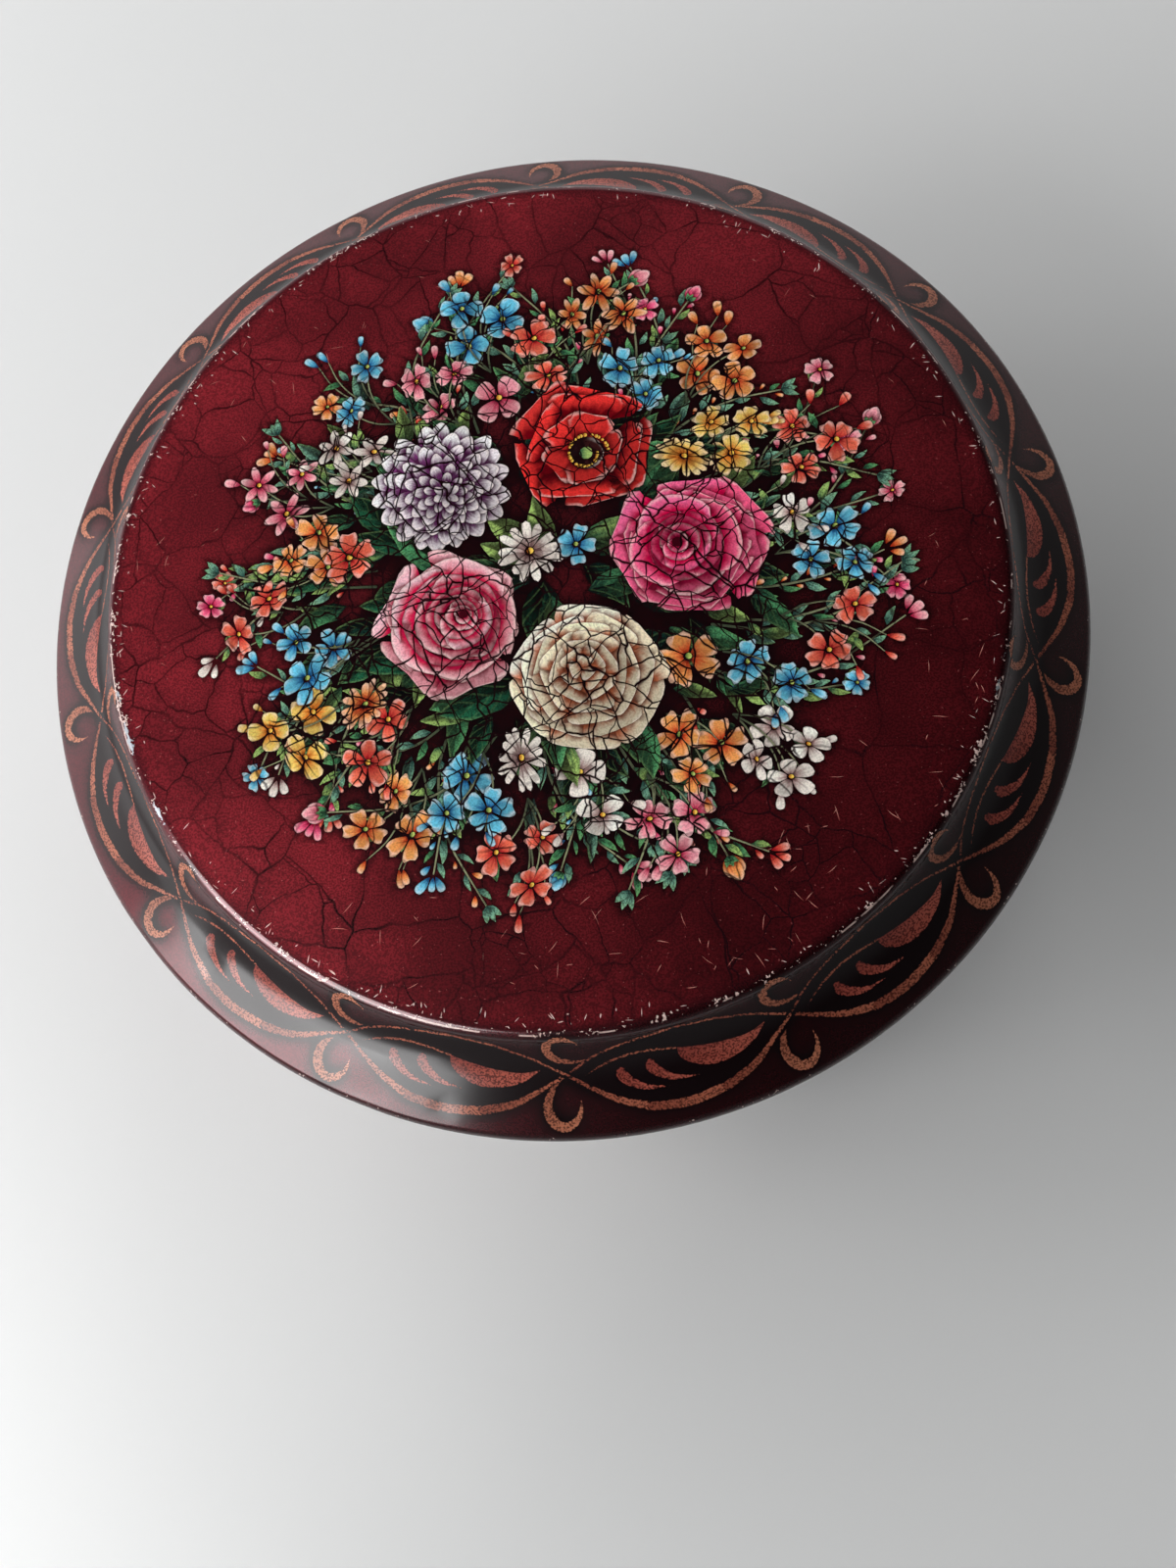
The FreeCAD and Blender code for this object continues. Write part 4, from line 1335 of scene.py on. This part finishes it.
def makeTinTree():
    # builds one piece: its flat print, a band tile repeated round the tin, and a spun profile
    tree = bpy.data.node_groups.new("Tin Sheet", "GeometryNodeTree")
    for label, kind in (("Geometry", "Geometry"), ("Band Tile", "Object"), ("Band Repeats", "Int"),
                        ("Profile", "Object"), ("Spin Radius", "Float"), ("Spin Sides", "Int"),
                        ("Weld Distance", "Float"), ("Print", "Material"), ("Bare Metal", "Material")):
        tree.interface.new_socket(label, in_out="INPUT", socket_type="NodeSocket" + kind)
    tree.interface.new_socket("Geometry", in_out="OUTPUT", socket_type="NodeSocketGeometry")
    given = addNode(tree, "NodeGroupInput").outputs
    tile = addNode(tree, "GeometryNodeObjectInfo", {"Object": given["Band Tile"]})
    spots = addNode(tree, "GeometryNodePoints", {"Count": given["Band Repeats"]})
    share = mathNode(tree, "DIVIDE", 2 * math.pi, given["Band Repeats"])
    turn = mathNode(tree, "MULTIPLY", addNode(tree, "GeometryNodeInputIndex").outputs[0], share)
    spin = addNode(tree, "ShaderNodeCombineXYZ", {"Z": turn})
    copies = addNode(tree, "GeometryNodeInstanceOnPoints", {
        "Points": spots.outputs[0], "Instance": tile.outputs["Geometry"], "Rotation": spin.outputs[0]})
    ring = addNode(tree, "GeometryNodeRealizeInstances", {0: copies.outputs[0]})
    profile = addNode(tree, "GeometryNodeObjectInfo", {"Object": given["Profile"]})
    line = addNode(tree, "GeometryNodeMeshToCurve", {"Mesh": profile.outputs["Geometry"]})
    circle = addNode(tree, "GeometryNodeCurvePrimitiveCircle", {
        "Resolution": given["Spin Sides"], "Radius": given["Spin Radius"]})
    level = addNode(tree, "GeometryNodeSetCurveNormal", {"Curve": circle.outputs[0]}, mode="Z_UP")
    spun = addNode(tree, "GeometryNodeCurveToMesh", {
        "Curve": level.outputs[0], "Profile Curve": line.outputs[0]})
    joined = addNode(tree, "GeometryNodeJoinGeometry")
    for part in (spun.outputs[0], ring.outputs[0], given["Geometry"]):
        tree.links.new(part, joined.inputs[0])
    single = mathNode(tree, "LESS_THAN", addNode(tree, "GeometryNodeInputMeshEdgeNeighbors").outputs[0], 1.5)
    rim = addNode(tree, "GeometryNodeFieldOnDomain", {0: single}, domain="EDGE", data_type="BOOLEAN")
    welded = addNode(tree, "GeometryNodeMergeByDistance", {
        "Geometry": joined.outputs[0], "Selection": rim.outputs[0], "Distance": given["Weld Distance"]})
    side = addNode(tree, "GeometryNodeInputNamedAttribute", {"Name": "side"}, data_type="FLOAT")
    inside = mathNode(tree, "GREATER_THAN", side.outputs[0], 0.5)
    whole = addNode(tree, "GeometryNodeRealizeInstances", {0: welded.outputs[0]})
    printed = addNode(tree, "GeometryNodeSetMaterial", {
        "Geometry": whole.outputs[0], "Material": given["Print"]})
    bared = addNode(tree, "GeometryNodeSetMaterial", {
        "Geometry": printed.outputs[0], "Selection": inside, "Material": given["Bare Metal"]})
    result = addNode(tree, "NodeGroupOutput")
    tree.links.new(bared.outputs[0], result.inputs[0])
    return tree


tinTree = makeTinTree()
printedLid = makePrintedFinish("printed_lid", printFinish, scuffAt=plateAlong + 0.9)
# the wall gets a milder painted light gradient across the tin, and no painted shade on a skirt
wallFinish = {**printFinish, "fade": (1.1, 0.85), "skirtShade": 1.0}
printedWall = makePrintedFinish("printed_wall", wallFinish, wallSheet["radius"])
bareTin = makeBareFinish(bareFinish)


def addObject(name, mesh):
    made = bpy.data.objects.new(name, mesh)
    bpy.context.scene.collection.objects.link(made)
    return made


def profileObject(name, sheet, first, last, closed):
    # the path's rows from last to its end on the outside, back inside, and on to first where it closes
    rows = sheet["rows"]
    drawn = rows[rows[:, 3] >= last - 1e-6]
    back = rows[::-1]
    start = rows[rows[:, 3] <= first + 1e-6] if closed else rows[:0]
    along = np.concatenate([drawn[:, 3], back[:, 3], start[:, 3]])
    side = np.concatenate([np.zeros(len(drawn)), np.ones(len(back)), np.zeros(len(start))])
    if sheet["offset"] > 0:
        along, side = along[::-1], side[::-1]      # keeps the spun faces outwards
    r, z, _ = onSheet(sheet, along, side)
    mesh = bpy.data.meshes.new(name)
    mesh.from_pydata([((a - lidRadius) * mm, -b * mm, 0) for a, b in zip(r, z)],
                     [(k, k + 1) for k in range(len(along) - 1)], [])
    setValues(mesh, "along", along)
    setValues(mesh, "side", side)
    return addObject(name, mesh)


def growPiece(name, flat, tile, profile, outside):
    tileObject = addObject(name + "Tile", tile) if tile else None
    grown = addObject(name + "Grown", flat or bpy.data.meshes.new(name + "Empty"))
    modifier = grown.modifiers.new("tin", "NODES")
    modifier.node_group = tinTree
    values = {"Band Tile": tileObject, "Band Repeats": band["repeats"] if tile else 0, "Profile": profile,
              "Spin Radius": lidRadius * mm, "Spin Sides": band["ringSides"],
              "Weld Distance": cutter["weld"] * mm, "Print": outside, "Bare Metal": bareTin}
    for item in tinTree.interface.items_tree:
        if item.in_out == "INPUT" and item.name in values:
            modifier[item.identifier] = values[item.name]
    mesh = bpy.data.meshes.new_from_object(grown.evaluated_get(bpy.context.evaluated_depsgraph_get()))
    for spare in (grown, tileObject, profile):
        if spare:
            bpy.data.objects.remove(spare)
    mesh.name = name
    return mesh


# dents in the lid: degrees round, length along the sheet, reach and depth, in millimetres
dents = [(-131.7, 91.8, 2.0, 0.3), (-101.5, 95.4, 1.5, 0.1), (-88.0, 95.0, 1.4, 0.08),
         (-110.0, 97.0, 2.6, 0.12), (-124.0, 93.5, 3.2, 0.12), (-140.0, 95.0, 4.0, 0.14),
         (-160.0, 90.0, 5.0, 0.12), (20.0, 92.0, 6.0, 0.12), (118.0, 94.0, 4.0, 0.1),
         (-30.0, 107.0, 4.0, 0.12)]


def shapeSheet(mesh, sheet, dentList, layout, between=None):
    # puts each point exactly on the sheet, presses the dents, and sets normals and the bake map
    # between: two heights, between which a dent is a fold straight up the sheet
    co = readValues(mesh.vertices, "co", size=3).reshape(-1, 3).astype(float) / mm
    along, side = (readValues(mesh.attributes[key].data, "value").astype(float) for key in ("along", "side"))
    side = np.round(side)
    angle = np.arctan2(co[:, 1], co[:, 0])
    r, z, facing = onSheet(sheet, along, side)
    around = rays(angle)
    points = np.column_stack([around * r[:, None], z])
    normals = np.column_stack([around * facing[:, :1], facing[:, 1]])
    slope, shift = np.zeros_like(points), np.zeros(len(points))
    for degrees, length, reach, depth in dentList:
        turn, here = math.radians(degrees), 1.0
        if between:
            tangent = np.array([-math.sin(turn), math.cos(turn), 0.0])
            away = (points @ tangent)[:, None] * tangent
            here = (np.cos(angle - turn) > 0) * (z > between[0]) * (z < between[1])
        else:
            dr, dz, _ = onSheet(sheet, np.array([length]), np.zeros(1))
            away = points - np.array([dr[0] * math.cos(turn), dr[0] * math.sin(turn), dz[0]])
        press = here * depth * np.exp(-0.5 * (away ** 2).sum(1) / reach ** 2)
        shift -= press
        slope += press[:, None] * away / reach ** 2
    facing = np.where(side > 0.5, -1.0, 1.0)[:, None]
    outward = normals * facing
    points = points + outward * shift[:, None]
    slope -= (slope * outward).sum(1)[:, None] * outward
    tipped = outward - slope
    tipped /= np.linalg.norm(tipped, axis=1)[:, None]
    mesh.vertices.foreach_set("co", (points * mm).astype(np.float32).ravel())
    mesh.update()
    layBakeMap(mesh, sheet, along, side, angle, layout)
    mesh.shade_smooth()
    mesh.normals_split_custom_set_from_vertices((tipped * facing).tolist())
    return along, angle


bakeMap = {  # the outside as one large disc, the inside as a small one: size and middle; or boxes in a grid
    "pad": 1.0, "edgeGap": 0.6,     # millimetres past the sheet's end, and between its end and its outside
    "outer": (0.42, 0.425), "inner": (0.16, 0.835), "grid": 4, "fill": 0.96, "margin": 0.02,
}


def layBakeMap(mesh, sheet, along, side, angle, layout):
    loops = readValues(mesh.loops, "vertex_index", np.int32)
    starts, totals = (readValues(mesh.polygons, key, np.int32) for key in ("loop_start", "loop_total"))
    owner = np.repeat(np.arange(len(starts)), totals)
    faceSide = np.add.reduceat(side[loops], starts) / totals
    inner = (faceSide > 0.99)[owner]
    reach = sheet["fine"][-1, 3] + bakeMap["pad"]
    length = np.where((~inner) & (side[loops] > 0.5), reach - bakeMap["edgeGap"], along[loops])
    if layout == "disc":
        scale, middle = (np.where(inner, bakeMap["inner"][k], bakeMap["outer"][k]) for k in (0, 1))
        scale = scale / reach
        mirror = np.where(inner, -1.0, 1.0)
        uv = np.column_stack([middle + mirror * length * scale * np.cos(angle[loops]),
                              middle + length * scale * np.sin(angle[loops])])
    else:
        # one box for each sector of the outside and of the inside
        grid, fill = bakeMap["grid"], bakeMap["fill"]
        sector = tileColumns * columnAngle
        c = np.add.reduceat(np.cos(angle[loops]), starts)
        s = np.add.reduceat(np.sin(angle[loops]), starts)
        box = np.floor((np.arctan2(s, c) - foldLine["turn"]) / sector).astype(int) % band["repeats"]
        centre = foldLine["turn"] + (box + 0.5) * sector
        offset = (angle[loops] - centre[owner] + math.pi) % (2 * math.pi) - math.pi
        cell = box[owner] + np.where(inner, 2 * grid, 0)
        across = 0.5 + offset / sector * fill
        up = bakeMap["margin"] + fill * length / reach
        uv = np.column_stack([(cell % grid + across) / grid, (cell // grid + up) / grid])
    layer = mesh.uv_layers.new(name="OFBake")
    layer.data.foreach_set("uv", uv.astype(np.float32).ravel())


def hill(value, middle, reach):
    return np.exp(-0.5 * ((value - middle) / reach) ** 2)


wornEdge = {
    # how worn the lid's edges are all round: amount, millimetres past the bend's start, and reach
    "plate": (0.74, 0.6, 0.9), "rim": (0.66, 0.9, 0.8), "border": (0.5, 1.5),
    # where the plate's edge lost more or less, and bare spots: degrees, reach, amount
    "spotsAt": (0.3, 1.3), "baredAt": (0.4, 0.45),
    "spots": [(-176, 8, 0.2), (-163, 6, 0.2), (-28, 8, 0.1), (-45, 14, 0.12), (-75, 10, 0.1),
              (-118, 16, 0.1), (-8, 9, 0.1), (121, 7, 0.12), (52, 8, 0.1), (90, 20, -0.1), (20, 14, -0.1)],
    "bared": [(-159, 2.2, 0.75), (-165, 1.5, 0.55), (-148.5, 2.4, 0.6), (-17, 1.8, 0.6), (-12.5, 1.2, 0.45)],
}


def setZone(mesh, wear, crackle, bared):
    setValues(mesh, "zone", np.column_stack([np.clip(wear, 0, 1), crackle, np.clip(bared, 0, 1)]))


def makeLid():
    profile = profileObject("lidProfile", lidSheet, 0, skirtAlong, False)
    mesh = growPiece("lid_shell", makePlate(), lidTile, profile, printedLid)
    along, angle = shapeSheet(mesh, lidSheet, dents, "disc")
    wear, bared = np.zeros(len(along)), np.zeros(len(along))
    for start, key in ((plateAlong, "plate"), (rimAlong, "rim")):
        amount, past, reach = wornEdge[key]
        wear += amount * hill(along, start + past, reach)
    for values, key in ((wear, "spots"), (bared, "bared")):
        past, width = wornEdge[key + "At"]
        for degrees, reach, amount in wornEdge[key]:
            spot = amount * hill(fromTurn(angle, degrees), 0, reach)
            values += spot * hill(along, plateAlong + past, width)
    past, width = wornEdge["border"]
    setZone(mesh, wear, np.clip((plateAlong + past - along) / width, 0, 1), bared)
    return addObject("lid_shell", mesh)


def fromTurn(angle, degrees):
    # degrees round the tin from a place on it
    return (np.degrees(angle) - degrees + 180) % 360 - 180


def makeWall():
    profile = profileObject("wallProfile", wallSheet, wallLow, wallHigh, True)
    mesh = growPiece("wall_shell", None, wallTile, profile, printedWall)
    fold = (math.degrees(foldLine["turn"]), 0.0, foldLine["reach"], foldLine["depth"])
    between = (wallForm["seamHeight"] + 1.0, highWall.z / mm - 3 * wallForm["curlRadius"])
    along, _ = shapeSheet(mesh, wallSheet, [fold], "boxes", between)
    z = along - wallLow + wallSheet["bendZ"]
    over, under = wallBand["top"] + wallBand["above"] - z, z - wallBand["top"] + wallBand["below"]
    inBand = np.clip(over / wallBand["soft"], 0, 1) * np.clip(under / wallBand["soft"], 0, 1)
    wear = wallBand["wornAll"] + sum(amount * hill(z, at, reach) for amount, at, reach in wallBand["worn"])
    setZone(mesh, wear, 1 - inBand, np.zeros(len(along)))
    return addObject("wall_shell", mesh)


def makeSideSeam():
    # the strip's two folded edges, locked together inside the wall at the back
    form, corner = wallForm, wallForm["lockCorner"]
    outer = wallSheet["radius"] - form["sheet"] / 2
    inner = wallSheet["radius"] - form["sheet"] - form["lockDepth"]
    low = baseForm["panelHeight"] + baseForm["sheet"] + form["lockEndGap"]
    high = highWall.z / mm - 2 * form["curlRadius"] - form["lockEndGap"]
    half = form["lockWidth"] / 2
    bends = [(half - corner * (1 - math.cos(a)), inner + corner * (1 - math.sin(a)))
             for a in form["lockTurns"]]
    section = [(half, outer)] + bends + [(x, inner) for x in (1, -1)] + [(-x, r) for x, r in bends[::-1]]
    section += [(-half, outer), (0, outer)]
    work = bmesh.new()
    rings = []
    for z, lower in ((low, corner), (low + corner, 0), (high - corner, 0), (high, corner)):
        ring = []
        for x, r in section:
            r = max(r, min(inner + lower, outer))
            ring.append(work.verts.new((r * math.sin(x / r) * mm, r * math.cos(x / r) * mm, z * mm)))
        rings.append(ring)
    for below, above in zip(rings, rings[1:]):
        for k in range(len(section)):
            work.faces.new((below[k - 1], below[k], above[k], above[k - 1]))
    work.faces.new(rings[0])
    work.faces.new(rings[-1][::-1])
    bmesh.ops.recalc_face_normals(work, faces=work.faces)
    mesh = bpy.data.meshes.new("side_seam")
    work.to_mesh(mesh)
    work.free()
    mesh.materials.append(bareTin)
    mesh.shade_smooth()
    mesh.set_sharp_from_angle(angle=math.radians(form["lockSharp"]))
    return addObject("side_seam", mesh)


def makeBase():
    profile = profileObject("baseProfile", baseSheet, 0, 0, False)
    mesh = growPiece("base_pan", None, None, profile, bareTin)
    shapeSheet(mesh, baseSheet, [], "disc")
    return addObject("base_pan", mesh)


def measureShell(piece):
    # a closed skin has no open edge, and its volume is above zero when its faces point outwards
    work = bmesh.new()
    work.from_mesh(piece.data)
    openEdges = sum(1 for e in work.edges if len(e.link_faces) != 2)
    triangles = sum(len(f.verts) - 2 for f in work.faces)
    volume = round(work.calc_volume(signed=True) / mm ** 3, 1)
    print(piece.name, "triangles", triangles, "open edges", openEdges, "volume", volume)
    work.free()


lidShell = makeLid()
wallShell = makeWall()
basePan = makeBase()
sideSeam = makeSideSeam()
for piece, body, node, slot in ((lidShell, "lid", "lid", "printed_lid"),
                                (wallShell, "box", "body_wall", "printed_wall"),
                                (basePan, "box", "base", "bare_base"),
                                (sideSeam, "box", "body_wall", "bare_base")):
    measureShell(piece)
    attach(piece, body)
    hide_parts(node)
print("pieces ride on their bodies")


# Stage, light and camera
stage = {
    "floorSize": 3.0, "floorColour": (0.66, 0.665, 0.665), "floorRough": 0.42, "floorGloss": 0.15,
    "floorFade": (330, 620),       # millimetres out, where the floor turns into the backdrop
    "worldLight": 0.05, "skyLow": 0.58, "skyHigh": 0.02, "skyFade": (0.15, 0.7), "aim": (0.0, 0.0, 0.05),
    "glossSide": (0.87, -0.5, 0.0), "glossFade": (-0.3, 0.6), "glossShare": 0.35,   # what gloss sees darker
    "daylight": (0.95, 0.98, 1, 1),
    "lamps": [      # degrees round and up, metres away, width and height, watts, and what it works on
        ("backLamp", 150, 24, 1.1, (1.2, 0.8), 9.0, "light"),
        ("sideLamp", 185, 22, 0.9, (0.6, 0.5), 3.9, "light"),
        ("sideGlow", 180, 8, 0.9, (0.9, 0.3), 1.1, "gloss"),
        ("windowLamp", 218, 26, 0.75, (0.7, 0.44), 4.4, "light"),
        ("windowGlow", 224, 30, 0.75, (0.6, 0.32), 5.2, "gloss"),
        ("highGlow", 216, 46, 0.9, (0.62, 0.5), 14.0, "gloss"),
        ("farLamp", 72, 22, 1.1, (0.9, 0.6), 6.0, "light"),
        ("farGlow", 85, 22, 1.1, (0.9, 0.6), 0.9, "gloss"),
        ("fillLamp", -35, 20, 1.2, (1.2, 0.7), 0.5, "light"),
    ],
}
photoCamera = {"at": (0.023067, -0.082171, 0.26302), "turn": (13.279, 4.834, 0.0), "lens": 27.045,
               "sensor": 36.0, "clipStart": 0.01}


def seenRays(tree):
    # 1 for what the camera, gloss and clear things look at, 0 for light itself
    path = addNode(tree, "ShaderNodeLightPath")
    seen = path.outputs["Is Camera Ray"]
    for key in ("Is Glossy Ray", "Is Transmission Ray"):
        seen = mathNode(tree, "MAXIMUM", seen, path.outputs[key])
    return seen


def backdropLevel(tree, toward, level):
    # the backdrop's brightness that way; gloss sees the room's far side darker
    toward = addNode(tree, "ShaderNodeVectorMath", {0: toward}, operation="NORMALIZE").outputs[0]
    side = addNode(tree, "ShaderNodeVectorMath", {0: toward, 1: stage["glossSide"]}, operation="DOT_PRODUCT")
    low, high = stage["glossFade"]
    share = addNode(tree, "ShaderNodeMapRange", {"Value": side.outputs["Value"], 1: low, 2: high, 3: 0.0,
                                                 4: 1.0 - stage["glossShare"]}).outputs[0]
    glossy = addNode(tree, "ShaderNodeLightPath").outputs["Is Glossy Ray"]
    kept = mathNode(tree, "SUBTRACT", 1.0, mathNode(tree, "MULTIPLY", share, glossy))
    return mathNode(tree, "MULTIPLY", kept, level)


def makeFloor():
    half = stage["floorSize"]
    mesh = bpy.data.meshes.new("floor")
    corners = [(-half, -half, 0), (half, -half, 0), (half, half, 0), (-half, half, 0)]
    mesh.from_pydata(corners, [], [(0, 1, 2, 3)])
    floor = addObject("floor", mesh)
    m = Mixer("table_top")
    m.finish(Base_Color=(*stage["floorColour"], 1), Roughness=stage["floorRough"],
             Specular_IOR_Level=stage["floorGloss"])
    out = addNode(m.tree, "ShaderNodeVectorMath", {0: m.mm}, operation="LENGTH").outputs["Value"]
    far = m.times(seenRays(m.tree), m.ramp(out, *stage["floorFade"]))
    glow = addNode(m.tree, "ShaderNodeEmission", {"Strength": backdropLevel(m.tree, m.mm, stage["skyLow"])})
    mixed = addNode(m.tree, "ShaderNodeMixShader", {0: far, 1: m.shader.outputs[0], 2: glow.outputs[0]})
    m.tree.links.new(mixed.outputs[0], m.out.inputs["Surface"])
    mesh.materials.append(m.material)


def makeWorld():
    # little light of its own; what the camera, gloss and metal see is pale at the horizon and dark overhead
    world = bpy.context.scene.world or bpy.data.worlds.new("studio")
    bpy.context.scene.world = world
    world.use_nodes = True
    tree = world.node_tree
    tree.nodes.clear()
    toward = addNode(tree, "ShaderNodeTexCoord").outputs["Generated"]
    up = addNode(tree, "ShaderNodeSeparateXYZ", {0: toward}).outputs[2]
    sky = smoothStep(tree, up, *stage["skyFade"], (stage["skyLow"], stage["skyHigh"]))
    level = backdropLevel(tree, toward, sky)
    light, shown = (addNode(tree, "ShaderNodeBackground", {"Color": colour, "Strength": strength}).outputs[0]
                    for colour, strength in ((stage["daylight"], stage["worldLight"]), ((1, 1, 1, 1), level)))
    mixed = addNode(tree, "ShaderNodeMixShader", {0: seenRays(tree), 1: light, 2: shown})
    tree.links.new(mixed.outputs[0], addNode(tree, "ShaderNodeOutputWorld").inputs["Surface"])


def makeLamps():
    for name, turn, up, away, size, watts, worksOn in stage["lamps"]:
        data = bpy.data.lights.new(name, "AREA")
        data.shape, data.size, data.size_y, data.energy = "RECTANGLE", *size, watts
        made = addObject(name, data)
        turn, up = math.radians(turn), math.radians(up)
        toward = Vector((math.cos(up) * math.cos(turn), math.cos(up) * math.sin(turn), math.sin(up)))
        made.location = Vector(stage["aim"]) + toward * away
        made.rotation_euler = toward.to_track_quat("Z", "Y").to_euler()
        made.visible_camera = False
        made.visible_glossy = worksOn != "light"
        made.visible_diffuse = worksOn != "gloss"


def makeCamera():
    data = bpy.data.cameras.new("camera")
    data.lens, data.sensor_width = photoCamera["lens"], photoCamera["sensor"]
    data.clip_start = photoCamera["clipStart"]
    camera = addObject("camera", data)
    camera.location = photoCamera["at"]
    camera.rotation_euler = [math.radians(a) for a in photoCamera["turn"]]
    bpy.context.scene.camera = camera


makeFloor()
makeWorld()
makeLamps()
makeCamera()
bpy.context.scene.view_settings.view_transform = "Standard"
